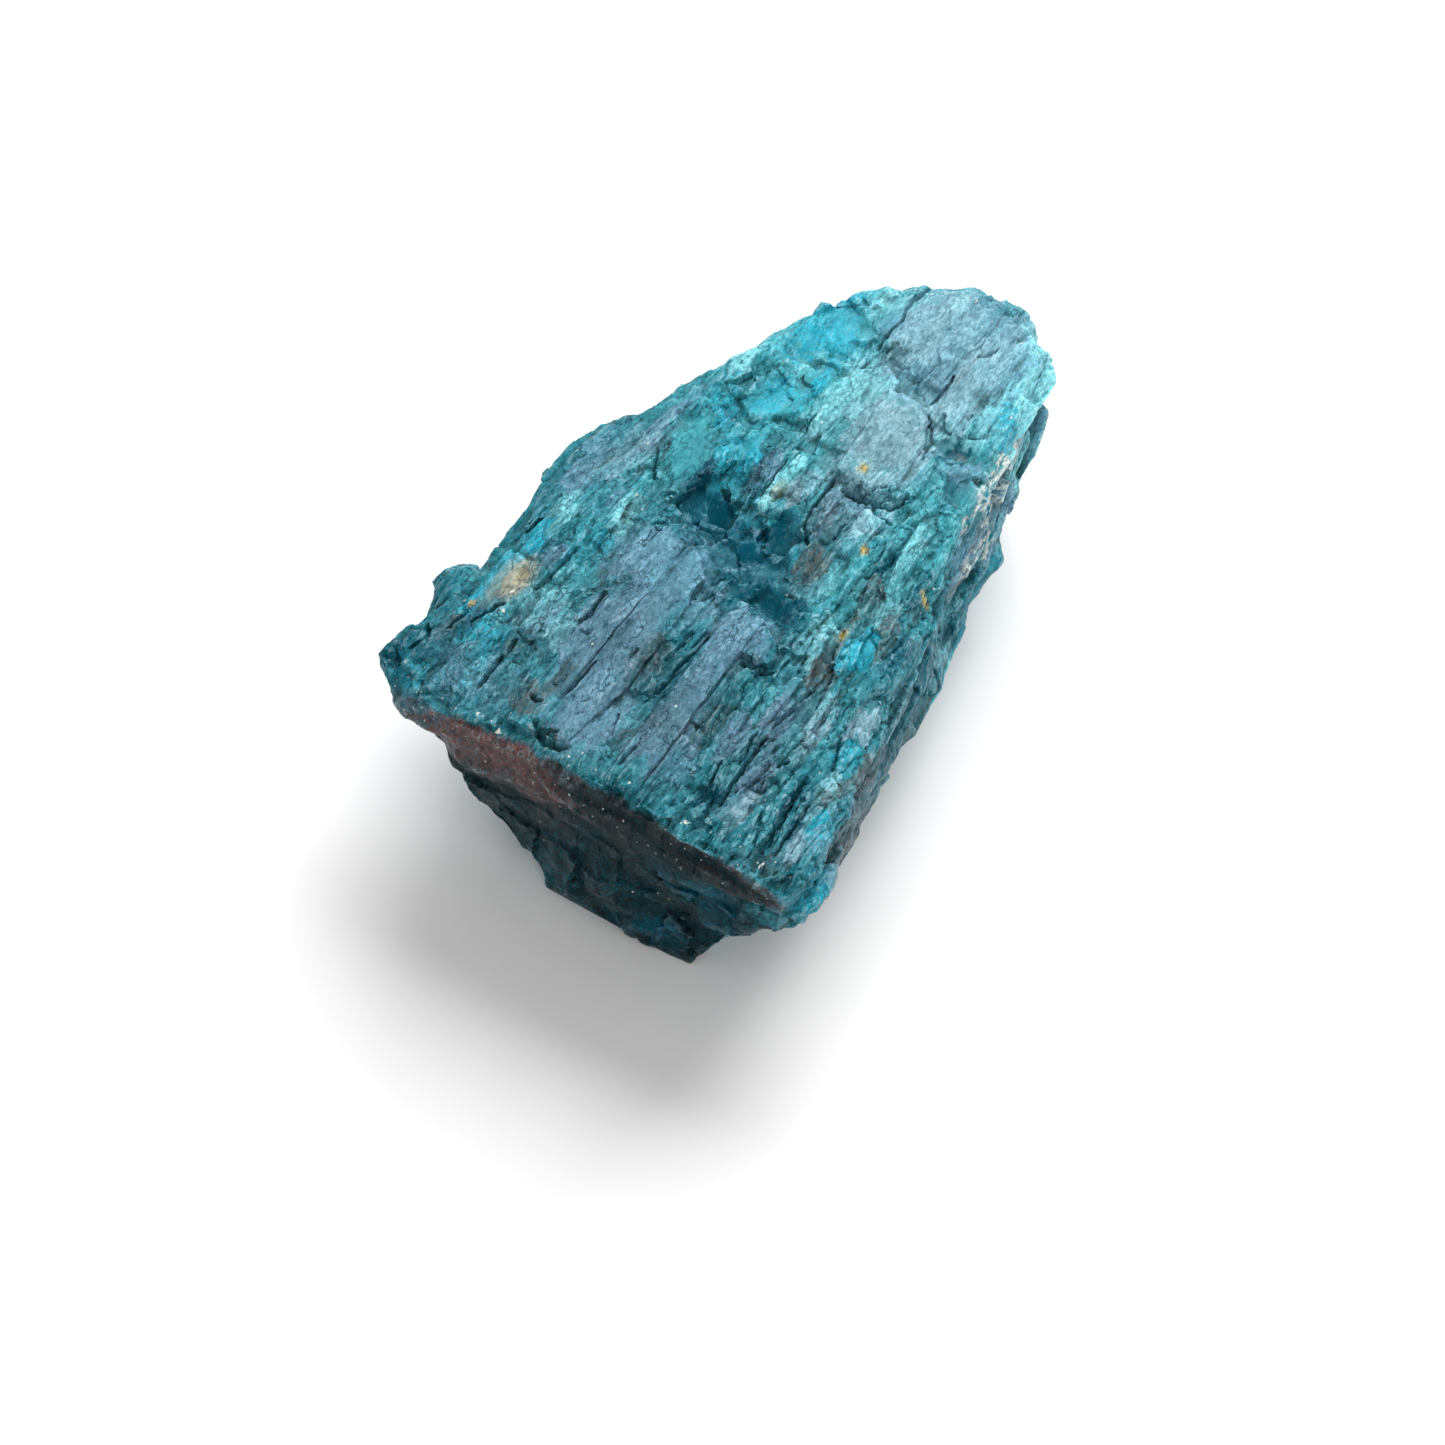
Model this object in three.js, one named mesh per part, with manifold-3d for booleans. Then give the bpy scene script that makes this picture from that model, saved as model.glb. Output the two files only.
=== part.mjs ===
// A rough chunk of blue-green apatite, broken from a columnar crystal mass.
//
// One natural solid, in millimetres, +Z up, origin on the surface that it lies on, below its middle.
// The striations of the crystal run along Y. The wide broken end faces -Y and the blunt tip +Y.
// The upper face is a staircase of long cleavage slabs with a hollow broken out of its middle.
// The flanks are steep and ribbed, and the chunk lies on a flat cleavage face at z = 0.
import * as THREE from "three";
import { ConvexGeometry } from "three/addons/geometries/ConvexGeometry.js";
import { mergeVertices } from "three/addons/utils/BufferGeometryUtils.js";
import Module from "manifold-3d";

const wasm = await Module();
wasm.setup();

// ---- driving dimensions ----
const END_Y = -21.4; // the wide broken end
const TIP_Y = 22.6; // the blunt tip
const DECK_Z = 12.8; // the upper face below its slabs
const SLAB_ROOT = 1.6; // how far a slab reaches down into the body
const SIDE_BEVEL = 0.2; // how far a slab's top is drawn in from its foot at the sides
const END_BEVEL = 0.75; // and at its ends, where it broke off
const SLAB_FACET = 0.14; // how uneven a slab's top is
const SPLINTER_ROOT = 0.9; // how far a splinter reaches into the face that it grows on
const SPLINTER_CREST = 0.45; // the width of a splinter's crest as a share of its foot
const SPLINTER_SHARE = 24; // the area of slab, in square millimetres, that carries one fine splinter
const STATION_STEP = 2.6; // between the body's rows of corners
const FACET_STEP = 3.1; // between the corners of one row
const BODY_FACET = 0.34; // how uneven the body's broken faces are

// Cross-sections from the wide end to the tip. Each ring is [x, z] for eight corners, clockwise seen from the
// wide end: left edge, left shoulder, right shoulder, right edge, right waist, right foot, left foot and
// left waist.
const SECTIONS = [
  {
    y: END_Y,
    ring: [
      [-9.8, 10.6], [-7.2, 12.3], [15.0, 12.9], [16.2, 11.9],
      [16.4, 8.6], [10.4, 0], [0.5, 0], [-6.8, 8.2],
    ],
  },
  {
    y: -19.3,
    ring: [
      [-12.5, 11.1], [-8.2, 12.6], [15.1, 12.9], [16.6, 11.8],
      [16.8, 8.2], [10.6, 0], [-1.6, 0], [-9.6, 8.8],
    ],
  },
  {
    y: -17.0,
    ring: [
      [-12.2, 11.4], [-8.0, 12.7], [15.0, 12.8], [16.4, 11.6],
      [16.7, 7.6], [10.8, 0], [-2.6, 0], [-9.8, 7.6],
    ],
  },
  {
    y: -12.0,
    ring: [
      [-10.9, 11.5], [-8.2, 12.8], [14.3, 12.7], [15.5, 11.5],
      [16.1, 6.6], [10.3, 0], [-4.0, 0], [-10.2, 7.2],
    ],
  },
  {
    y: -7.0,
    ring: [
      [-10.8, 11.8], [-8.6, 12.8], [13.3, 12.7], [14.3, 11.5],
      [15.2, 5.6], [10.0, 0], [-4.6, 0], [-10.6, 7.4],
    ],
  },
  {
    y: -2.0,
    ring: [
      [-11.6, 11.2], [-8.0, 12.7], [12.1, 12.6], [13.0, 11.4],
      [13.9, 5.2], [9.6, 0], [-5.0, 0], [-11.2, 7.6],
    ],
  },
  {
    y: 2.0,
    ring: [
      [-11.0, 11.4], [-7.8, 12.7], [11.2, 12.5], [12.1, 11.3],
      [13.1, 4.6], [9.0, 0], [-5.0, 0], [-10.4, 7.2],
    ],
  },
  {
    y: 6.0,
    ring: [
      [-8.2, 12.1], [-7.0, 12.8], [10.6, 12.4], [11.4, 11.2],
      [12.2, 4.4], [8.6, 0], [-4.6, 0], [-8.8, 6.8],
    ],
  },
  {
    y: 10.5,
    ring: [
      [-6.3, 12.0], [-5.4, 12.7], [10.2, 12.1], [10.8, 11.0],
      [11.5, 4.4], [8.0, 0], [-3.8, 0], [-7.0, 6.4],
    ],
  },
  {
    y: 14.5,
    ring: [
      [-4.9, 11.8], [-3.9, 12.4], [9.4, 11.9], [9.9, 10.8],
      [10.3, 4.8], [7.2, 0], [-2.4, 0], [-5.4, 6.2],
    ],
  },
  {
    y: 19.0,
    ring: [
      [-1.6, 11.5], [-0.7, 12.1], [8.6, 11.7], [9.1, 10.6],
      [9.0, 6.2], [5.9, 1.7], [0.5, 1.5], [-2.0, 6.6],
    ],
  },
  {
    y: 21.2,
    ring: [
      [0.3, 11.3], [1.0, 12.0], [7.5, 11.6], [8.0, 10.6],
      [7.8, 7.6], [5.8, 4.6], [1.8, 4.9], [0.2, 7.8],
    ],
  },
  {
    y: TIP_Y,
    ring: [
      [2.1, 11.0], [2.6, 11.6], [5.6, 11.4], [6.2, 10.7],
      [6.1, 9.4], [5.2, 8.3], [3.2, 8.4], [2.2, 9.3],
    ],
  },
];

// Cleavage slabs on the upper face: outline [x, y] points and the height of the top at the outline's middle,
// with the top's slopes along X and Y.
const SLABS = [
  // tip
  {
    outline: [[0.3, 14.3], [0.2, 20.0], [1.0, 21.2], [3.2, 21.9], [5.0, 21.5], [5.1, 12.9], [3.2, 13.4]],
    top: 12.85,
    slope: [-0.03, -0.01],
  },
  {
    outline: [
      [5.2, 11.7], [5.1, 21.4], [7.6, 20.8], [8.6, 19.2],
      [9.2, 16.4], [9.0, 12.4], [8.2, 10.6], [6.6, 10.9],
    ],
    top: 12.65,
    slope: [-0.08, 0.02],
  },
  {
    outline: [[8.9, 11.0], [8.6, 17.4], [9.3, 16.4], [10.0, 13.6], [10.3, 10.8], [9.7, 10.2]],
    top: 12.35,
    slope: [-0.2, 0],
  },
  // glassy lumps left of the tip
  {
    outline: [[-3.0, 14.2], [-3.2, 16.9], [-1.9, 17.9], [-0.7, 19.2], [0.0, 19.4], [0.0, 15.4]],
    top: 12.75,
    slope: [0.1, -0.06],
  },
  {
    outline: [[-4.5, 11.4], [-4.6, 15.0], [-3.9, 16.1], [-2.6, 16.0], [-1.8, 13.6], [-2.4, 11.2]],
    top: 12.75,
    slope: [0.16, 0.05],
  },
  {
    outline: [[-2.2, 11.4], [-1.6, 14.4], [0.1, 15.0], [0.4, 12.6], [-0.6, 10.8]],
    top: 12.95,
    slope: [-0.12, -0.08],
  },
  {
    outline: [[-6.3, 7.4], [-6.1, 9.6], [-5.2, 10.1], [-4.2, 9.8], [-3.9, 6.4], [-5.4, 6.2]],
    top: 12.8,
    slope: [0.05, -0.09],
  },
  {
    outline: [[-4.4, 6.8], [-4.0, 11.0], [-1.2, 11.2], [-0.6, 8.8], [-1.0, 6.8], [-3.0, 5.6]],
    top: 12.95,
    slope: [-0.1, 0.06],
  },
  // middle plateau
  {
    outline: [[-0.9, 6.6], [-1.0, 9.6], [0.4, 12.4], [1.9, 13.8], [3.3, 13.2], [3.4, 6.2], [1.2, 5.2]],
    top: 13.35,
    slope: [0.03, 0.03],
  },
  {
    outline: [[3.0, 4.3], [2.9, 12.6], [4.9, 12.6], [6.0, 11.3], [6.9, 9.6], [7.0, 5.6], [6.4, 4.3]],
    top: 13.7,
    slope: [-0.03, -0.02],
  },
  {
    outline: [[6.9, 5.0], [7.0, 8.6], [8.0, 9.4], [8.3, 6.4], [7.7, 5.0]],
    top: 13.3,
    slope: [-0.06, 0.02],
  },
  {
    outline: [[8.2, 3.4], [8.2, 9.4], [9.6, 10.0], [10.7, 8.6], [10.9, 4.2], [9.6, 3.0]],
    top: 12.65,
    slope: [-0.12, 0.03],
  },
  // strips between the hollow and the plateau
  { outline: [[-0.9, 0.7], [-1.0, 6.0], [0.4, 6.6], [0.5, 0.6]], top: 13.15, slope: [0.1, 0.02] },
  { outline: [[0.5, 0.9], [0.4, 5.2], [1.7, 5.8], [1.9, 1.0]], top: 13.3, slope: [-0.06, 0.02] },
  { outline: [[1.9, 1.2], [1.8, 5.0], [3.4, 5.2], [3.5, 1.0]], top: 12.95, slope: [-0.05, 0.03] },
  { outline: [[3.6, 0.4], [3.5, 4.1], [5.5, 4.1], [5.7, 0.7]], top: 13.1, slope: [-0.09, -0.04] },
  { outline: [[5.8, -0.4], [5.7, 4.1], [7.6, 4.0], [7.5, -0.2]], top: 13.3, slope: [0.03, 0.02] },
  { outline: [[7.7, -3.4], [7.7, 2.6], [8.6, 3.2], [8.9, -3.0]], top: 12.9, slope: [-0.08, 0] },
  { outline: [[9.1, -2.6], [9.0, 4.8], [9.9, 5.0], [10.0, -1.6]], top: 13.0, slope: [0.1, 0.01] },
  {
    outline: [[10.2, -4.6], [10.2, 3.6], [11.4, 2.8], [11.9, -3.4], [11.3, -4.8]],
    top: 12.75,
    slope: [-0.14, 0],
  },
  // left shoulder
  {
    outline: [[-7.0, 0.8], [-7.0, 5.6], [-5.6, 6.4], [-3.4, 5.6], [-2.6, 3.2], [-3.2, 1.2], [-5.0, 0.4]],
    top: 12.75,
    slope: [-0.02, 0.03],
  },
  { outline: [[-7.9, 0.2], [-7.6, 6.4], [-7.0, 6.8], [-6.9, -0.2]], top: 13.0, slope: [0.2, 0] },
  {
    outline: [[-3.0, 1.6], [-2.8, 5.4], [-1.2, 6.0], [-1.0, 1.4]],
    top: 12.9,
    slope: [-0.12, 0.05],
  },
  {
    outline: [[-7.9, -9.6], [-7.3, -1.4], [-6.3, -1.2], [-6.2, -9.2], [-7.0, -10.0]],
    top: 13.05,
    slope: [0.06, 0.01],
  },
  {
    outline: [[-6.2, -7.6], [-6.2, -0.6], [-5.2, -0.4], [-5.1, -8.0]],
    top: 13.2,
    slope: [-0.1, 0],
  },
  {
    outline: [[-5.1, -9.6], [-5.1, -1.4], [-4.0, -1.8], [-3.8, -9.4]],
    top: 12.95,
    slope: [-0.08, 0.02],
  },
  {
    outline: [[-9.6, -9.8], [-9.4, -6.8], [-8.2, -6.2], [-7.9, -9.8]],
    top: 12.8,
    slope: [0.2, 0.02],
  },
  {
    outline: [[-6.2, -14.6], [-6.4, -10.4], [-5.2, -9.8], [-4.2, -10.2], [-4.2, -14.9], [-5.2, -15.2]],
    top: 13.15,
    slope: [0.02, 0.01],
  },
  {
    outline: [[-4.2, -15.8], [-4.2, -9.8], [-3.0, -9.6], [-2.9, -15.6]],
    top: 12.9,
    slope: [0.08, 0],
  },
  {
    outline: [[-8.4, -20.9], [-8.0, -14.4], [-6.6, -13.8], [-6.0, -15.4], [-6.2, -21.3]],
    top: 12.95,
    slope: [0.08, 0.02],
  },
  {
    outline: [[-11.9, -18.9], [-11.3, -16.8], [-9.2, -15.6], [-8.3, -17.0], [-8.6, -20.9], [-9.9, -20.5]],
    top: 12.35,
    slope: [0.16, 0.03],
  },
  {
    outline: [[-6.1, -21.4], [-6.0, -16.2], [-3.4, -15.8], [-2.9, -21.2]],
    top: 13.0,
    slope: [0.03, 0.03],
  },
  // the two large slabs and the splinters between them
  {
    outline: [[-3.8, -9.6], [-3.9, -4.4], [-3.0, -3.1], [-2.9, -12.4]],
    top: 13.35,
    slope: [0.05, 0],
  },
  {
    outline: [[-2.9, -20.6], [-3.0, -3.1], [-1.8, -2.4], [-0.6, -3.3], [-0.7, -20.9]],
    top: 13.55,
    slope: [0.03, 0.01],
  },
  {
    outline: [
      [-0.7, -20.2], [-0.7, -3.4], [0.8, -4.3], [1.5, -5.3],
      [1.9, -8.4], [1.6, -15.0], [0.9, -20.6],
    ],
    top: 13.5,
    slope: [-0.05, 0.01],
  },
  {
    outline: [[0.9, -21.5], [1.5, -15.2], [3.3, -15.0], [3.7, -21.2]],
    top: 13.2,
    slope: [0.04, 0.03],
  },
  {
    outline: [[2.0, -14.8], [2.0, -8.6], [2.8, -8.4], [2.8, -15.0]],
    top: 13.1,
    slope: [0.12, 0.01],
  },
  { outline: [[2.9, -13.6], [2.9, -8.8], [3.3, -8.8], [3.3, -13.4]], top: 12.9, slope: [0, 0.02] },
  {
    outline: [[2.3, -7.4], [2.3, -5.8], [3.1, -5.6], [3.2, -7.3]],
    top: 13.15,
    slope: [0.1, -0.06],
  },
  {
    outline: [[3.8, -20.8], [3.8, -7.2], [4.5, -6.5], [6.0, -6.4], [6.1, -21.2]],
    top: 13.7,
    slope: [0.02, 0.01],
  },
  {
    outline: [[6.0, -9.8], [6.0, -6.4], [7.3, -7.1], [8.0, -8.3], [7.9, -9.2]],
    top: 13.65,
    slope: [-0.1, 0.03],
  },
  // strips towards the right edge
  {
    outline: [[6.1, -15.4], [6.1, -9.9], [7.1, -9.7], [7.1, -15.6]],
    top: 13.1,
    slope: [-0.16, 0.01],
  },
  {
    outline: [[7.2, -15.2], [7.2, -9.6], [8.7, -9.0], [8.8, -15.0]],
    top: 12.8,
    slope: [0.06, 0.01],
  },
  {
    outline: [[6.1, -21.5], [6.1, -15.6], [8.9, -15.4], [8.9, -21.2]],
    top: 13.25,
    slope: [-0.06, 0.03],
  },
  {
    outline: [[9.0, -20.9], [9.0, -8.2], [9.9, -8.0], [10.0, -20.6]],
    top: 13.25,
    slope: [0.08, 0.01],
  },
  {
    outline: [[7.9, -7.2], [8.0, -3.9], [9.2, -3.6], [9.5, -7.0], [8.8, -7.6]],
    top: 13.2,
    slope: [0.02, 0.03],
  },
  {
    outline: [[10.4, -21.3], [10.4, -10.8], [11.2, -10.6], [11.3, -21.0]],
    top: 13.2,
    slope: [-0.05, 0.01],
  },
  {
    outline: [[11.3, -15.6], [11.2, -9.4], [12.2, -8.2], [12.3, -15.4]],
    top: 13.1,
    slope: [0.03, 0.01],
  },
  {
    outline: [[11.4, -21.4], [11.4, -16.0], [12.8, -16.2], [13.3, -21.0]],
    top: 13.1,
    slope: [-0.12, 0.02],
  },
  {
    outline: [[10.4, -7.4], [10.4, -2.4], [11.8, -2.6], [12.6, -6.8], [11.8, -7.8]],
    top: 13.0,
    slope: [-0.06, 0.02],
  },
  {
    outline: [[12.4, -14.8], [12.2, -6.6], [13.1, -6.0], [13.5, -14.6]],
    top: 12.85,
    slope: [-0.14, 0],
  },
  {
    outline: [[13.6, -11.2], [13.5, -7.9], [14.1, -7.2], [14.8, -9.4], [15.0, -11.0]],
    top: 13.1,
    slope: [-0.16, 0.02],
  },
  {
    outline: [[14.1, -20.8], [14.1, -13.6], [14.5, -13.4], [14.6, -20.9]],
    top: 13.05,
    slope: [-0.1, 0],
  },
  {
    outline: [[14.8, -20.7], [14.8, -13.4], [15.4, -13.6], [16.4, -18.2], [16.3, -20.6]],
    top: 12.95,
    slope: [-0.28, -0.01],
  },
];

// Long dark grooves between slabs: [x, y] of both ends, width at the top and depth below z = 13.6.
const GROOVES = [
  { from: [3.5, -8.6], to: [3.55, -14.4], width: 0.55, depth: 2.6 },
  { from: [10.2, -12.6], to: [10.15, -17.8], width: 0.4, depth: 2.2 },
  { from: [13.65, -14.2], to: [13.75, -19.8], width: 0.7, depth: 2.7 },
  { from: [14.68, -13.6], to: [14.72, -19.6], width: 0.3, depth: 1.9 },
  { from: [-2.92, -9.8], to: [-2.9, -12.6], width: 0.35, depth: 1.4 },
  { from: [-0.7, -13.8], to: [-0.75, -17.2], width: 0.25, depth: 1.2 },
  { from: [-6.5, -8.6], to: [-6.7, -12.2], width: 0.5, depth: 1.6 },
  { from: [0.2, 20.3], to: [0.25, 14.2], width: 0.35, depth: 1.7 },
  { from: [5.05, 15.2], to: [5.15, 12.4], width: 0.5, depth: 1.5 },
  { from: [3.45, 0.6], to: [3.4, 5.0], width: 0.35, depth: 1.4 },
  { from: [7.0, 9.8], to: [7.15, 7.8], width: 0.3, depth: 1.1 },
  { from: [12.05, -2.0], to: [12.3, -8.0], width: 0.4, depth: 1.9 },
];

// Broken hollows in the upper face: centre, half sizes and how far each is turned about Z.
const HOLLOWS = [
  { at: [1.0, -1.7, 13.9], half: [5.0, 2.9, 2.9], turn: -0.35 },
  { at: [-2.0, -0.6, 13.6], half: [2.1, 1.8, 2.5], turn: 0.5 },
  { at: [0.9, -2.2, 13.5], half: [1.8, 1.6, 2.3], turn: -0.4 },
  { at: [3.4, -4.3, 13.6], half: [2.0, 1.2, 2.0], turn: -0.5 },
  { at: [5.0, -5.0, 13.6], half: [1.9, 1.0, 2.6], turn: -0.25 },
  { at: [2.0, -6.6, 13.6], half: [0.8, 1.7, 1.9], turn: 0.1 },
  { at: [8.1, 10.1, 12.9], half: [1.0, 0.6, 1.2], turn: 0.4 },
  { at: [9.1, 1.0, 13.1], half: [0.6, 0.8, 1.1], turn: 0.3 },
];

// Broken pockets in the wide end, below the brown band.
const POCKETS = [
  { at: [7.0, END_Y - 1.0, 7.7], half: [7.4, 1.7, 1.3], turn: 0.02 },
  { at: [2.2, END_Y - 0.5, 6.0], half: [1.5, 2.6, 2.0], turn: 0.2 },
  { at: [5.2, END_Y - 0.6, 5.9], half: [1.2, 2.2, 1.5], turn: -0.3 },
  { at: [3.6, END_Y - 0.7, 3.0], half: [1.3, 1.7, 1.1], turn: 0.5 },
  { at: [12.6, END_Y - 0.9, 8.2], half: [2.6, 1.6, 0.9], turn: -0.1 },
];

// Lumps that stand proud of the body.
const LUMPS = [
  // the knob on the left edge
  { at: [-12.4, -11.9, 9.5], half: [1.75, 1.4, 1.5], turn: 0.3 },
  { at: [-11.3, -12.9, 10.3], half: [1.8, 2.4, 1.5], turn: -0.2 },
  // the lip that runs along the top of the wide end
  { at: [-2.6, END_Y + 0.5, 10.3], half: [7.4, 1.0, 2.3], turn: 0.02 },
  { at: [4.6, END_Y + 0.5, 10.7], half: [5.4, 1.0, 2.0], turn: -0.02 },
  { at: [11.4, END_Y + 0.5, 10.8], half: [5.2, 1.0, 1.6], turn: 0.02 },
  // the broken crystal under the lip
  { at: [6.6, END_Y + 0.3, 2.6], half: [3.2, 1.4, 2.6], turn: 0.1 },
  { at: [12.2, END_Y + 0.8, 5.4], half: [3.0, 1.6, 2.6], turn: -0.2 },
  { at: [15.0, END_Y + 1.8, 9.0], half: [1.8, 1.9, 1.9], turn: 0.4 },
  // a swelling on the left edge of the tip
  { at: [-6.3, 8.5, 11.7], half: [0.9, 1.8, 1.2], turn: -0.1 },
];

// Places where the crystal broke into small angular grains: a box, how many grains, and their half size.
const END_GRAINS_Y = [END_Y + 0.2, END_Y + 0.5];
const EDGE_GRAINS_Y = [END_Y + 0.4, END_Y + 0.6];
const GRAINS = [
  { from: [-4.6, 10.4, 11.9], to: [0.2, 18.6, 12.4], count: 13, half: 1.1, seed: 61 }, // left of the tip
  { from: [-7.2, 2.0, 12.1], to: [-1.4, 9.4, 12.8], count: 8, half: 1.1, seed: 67 }, // left of the plateau
  { from: [8.2, 4.5, 11.2], to: [10.8, 15.5, 11.8], count: 5, half: 0.9, seed: 71 }, // right of the plateau
  { from: [-3.2, -4.6, 11.0], to: [6.4, 0.6, 11.9], count: 8, half: 0.95, seed: 73 }, // in the hollow
  // the wide end, low and to the right
  { from: [0.5, END_GRAINS_Y[0], 1.6], to: [12.6, END_GRAINS_Y[1], 6.4], count: 8, half: 1.05, seed: 79 },
  // the wide end, under the left corner
  { from: [-7.5, EDGE_GRAINS_Y[0], 8.9], to: [-1.5, EDGE_GRAINS_Y[1], 10.2], count: 4, half: 0.9, seed: 83 },
];
const GRAIN_INSET = 1.1; // between a grain's middle and the outline of the body at its height

// A repeatable stream of numbers from 0 to 1.
function randomFrom(seed) {
  let state = seed;
  return () => {
    state = (state + 0x6d2b79f5) | 0;
    let mixed = Math.imul(state ^ (state >>> 15), 1 | state);
    mixed = (mixed + Math.imul(mixed ^ (mixed >>> 7), 61 | mixed)) ^ mixed;
    return ((mixed ^ (mixed >>> 14)) >>> 0) / 4294967296;
  };
}

// A closed three.js geometry as a solid that can be joined and cut.
function solidFrom(geometry) {
  const bare = geometry.clone();
  bare.deleteAttribute("normal");
  bare.deleteAttribute("uv");
  const merged = mergeVertices(bare, 1e-4);
  return new wasm.Manifold(
    new wasm.Mesh({
      numProp: 3,
      vertProperties: new Float32Array(merged.attributes.position.array),
      triVerts: new Uint32Array(merged.index.array),
    }),
  );
}

// The striations wander a little from side to side along the stone.
function wander(point) {
  const { x, y, z } = point;
  return new THREE.Vector3(
    x + 0.22 * Math.sin(0.33 * y + 0.15 * x) + 0.08 * Math.sin(0.9 * y + 0.5 * x + 0.4 * z),
    y + 0.25 * Math.sin(0.7 * x + 0.2 * y),
    z + 0.12 * Math.sin(0.45 * x + 0.3 * y + 1) + 0.06 * Math.sin(1.1 * x - 0.5 * y),
  );
}

const hullOf = (points) => solidFrom(new ConvexGeometry(points.map(wander)));

// The ring of corners at one place along the stone, between the two cross-sections next to it.
function ringAt(y) {
  const found = SECTIONS.findIndex((section) => section.y >= y);
  const next = found < 0 ? SECTIONS.length - 1 : Math.max(1, found);
  const [near, far] = [SECTIONS[next - 1], SECTIONS[next]];
  const mix = (y - near.y) / (far.y - near.y);
  return near.ring.map(([x, z], c) => [x + (far.ring[c][0] - x) * mix, z + (far.ring[c][1] - z) * mix]);
}

// The body: rows of corners, closed by a fan at each end. Each corner but those of the resting face is a
// little off its place, so that the flanks and the ends are broken faces and not smooth ones.
function bodySolid() {
  const random = randomFrom(19);
  const rows = Math.round((TIP_Y - END_Y) / STATION_STEP);
  const splits = SECTIONS[3].ring.map(([x, z], c, ring) => {
    const [nextX, nextZ] = ring[(c + 1) % ring.length];
    return Math.max(1, Math.round(Math.hypot(nextX - x, nextZ - z) / FACET_STEP));
  });
  const positions = [];
  for (let row = 0; row <= rows; row++) {
    const y = END_Y + ((TIP_Y - END_Y) * row) / rows;
    const ring = ringAt(y);
    ring.forEach(([x, z], c) => {
      const [nextX, nextZ] = ring[(c + 1) % ring.length];
      for (let part = 0; part < splits[c]; part++) {
        const share = part / splits[c];
        const at = [x + (nextX - x) * share, z + (nextZ - z) * share];
        const shift = () => (random() - 0.5) * 2 * BODY_FACET;
        const resting = at[1] < 0.01;
        const alongY = row === 0 || row === rows ? 0 : shift() * 2;
        const brokenX = at[0] + shift() * (resting ? 1.6 : 1);
        const brokenZ = resting ? 0 : at[1] + shift() * 0.8;
        positions.push(brokenX, y + alongY, brokenZ);
      }
    });
  }
  const corners = splits.reduce((sum, split) => sum + split, 0);
  const index = [];
  for (let row = 0; row < rows; row++) {
    for (let c = 0; c < corners; c++) {
      const near = row * corners + c;
      const nearNext = row * corners + ((c + 1) % corners);
      if (random() < 0.5) {
        index.push(near, nearNext, near + corners, nearNext, nearNext + corners, near + corners);
      } else {
        index.push(near, nearNext, nearNext + corners, near, nearNext + corners, near + corners);
      }
    }
  }
  const hubs = [0, rows * corners].map((first, end) => {
    const sum = [0, 0, 0];
    for (let c = 0; c < corners; c++) {
      sum.forEach((_, axis) => (sum[axis] += positions[(first + c) * 3 + axis] / corners));
    }
    positions.push(sum[0], sum[1] + (end ? 0.5 : -0.3), sum[2]);
    return positions.length / 3 - 1;
  });
  for (let c = 0; c < corners; c++) {
    const next = (c + 1) % corners;
    index.push(hubs[0], next, c);
    index.push(hubs[1], rows * corners + c, rows * corners + next);
  }
  const geometry = new THREE.BufferGeometry();
  geometry.setAttribute("position", new THREE.Float32BufferAttribute(positions, 3));
  geometry.setIndex(index);
  return solidFrom(geometry);
}

// A slab of cleaved crystal. Its outline is drawn in at the top, more at the ends than at the sides, and its
// top is a little uneven.
function slabSolid({ outline, top, slope }, random) {
  const share = 1 / outline.length;
  const middle = outline.reduce((sum, [x, y]) => [sum[0] + x * share, sum[1] + y * share], [0, 0]);
  const reachX = Math.max(...outline.map(([x]) => Math.abs(x - middle[0])));
  const reachY = Math.max(...outline.map(([, y]) => Math.abs(y - middle[1])));
  const topPoint = (x, y, lift) =>
    new THREE.Vector3(x, y, top + slope[0] * (x - middle[0]) + slope[1] * (y - middle[1]) + lift);
  const points = outline.flatMap(([x, y]) => {
    const inX = 1 - Math.min(SIDE_BEVEL * (0.6 + 0.8 * random()), reachX / 2) / reachX;
    const inY = 1 - Math.min(END_BEVEL * (0.3 + 1.1 * random()), reachY / 3) / reachY;
    const drop = -SLAB_FACET * random() * 1.5;
    const rim = topPoint(middle[0] + (x - middle[0]) * inX, middle[1] + (y - middle[1]) * inY, drop);
    return [rim, new THREE.Vector3(x, y, Math.min(rim.z, DECK_Z) - SLAB_ROOT)];
  });
  for (const end of [-0.55, 0, 0.5]) {
    const side = (random() - 0.5) * 1.1;
    points.push(topPoint(middle[0] + side * reachX, middle[1] + end * reachY, SLAB_FACET * random()));
  }
  return hullOf(points);
}

// A V-shaped groove that is open at the top.
function grooveSolid({ from, to, width, depth }) {
  const rim = 14.4;
  const bed = 13.6 - depth;
  const points = [];
  for (const [end, inward] of [[from, Math.sign(to[1] - from[1])], [to, Math.sign(from[1] - to[1])]]) {
    for (const side of [-1, 1]) {
      points.push(new THREE.Vector3(end[0] + side * width * 0.75, end[1], rim));
      points.push(new THREE.Vector3(end[0] + side * width * 0.12, end[1] + inward * 0.5, bed));
    }
  }
  return hullOf(points);
}

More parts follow.
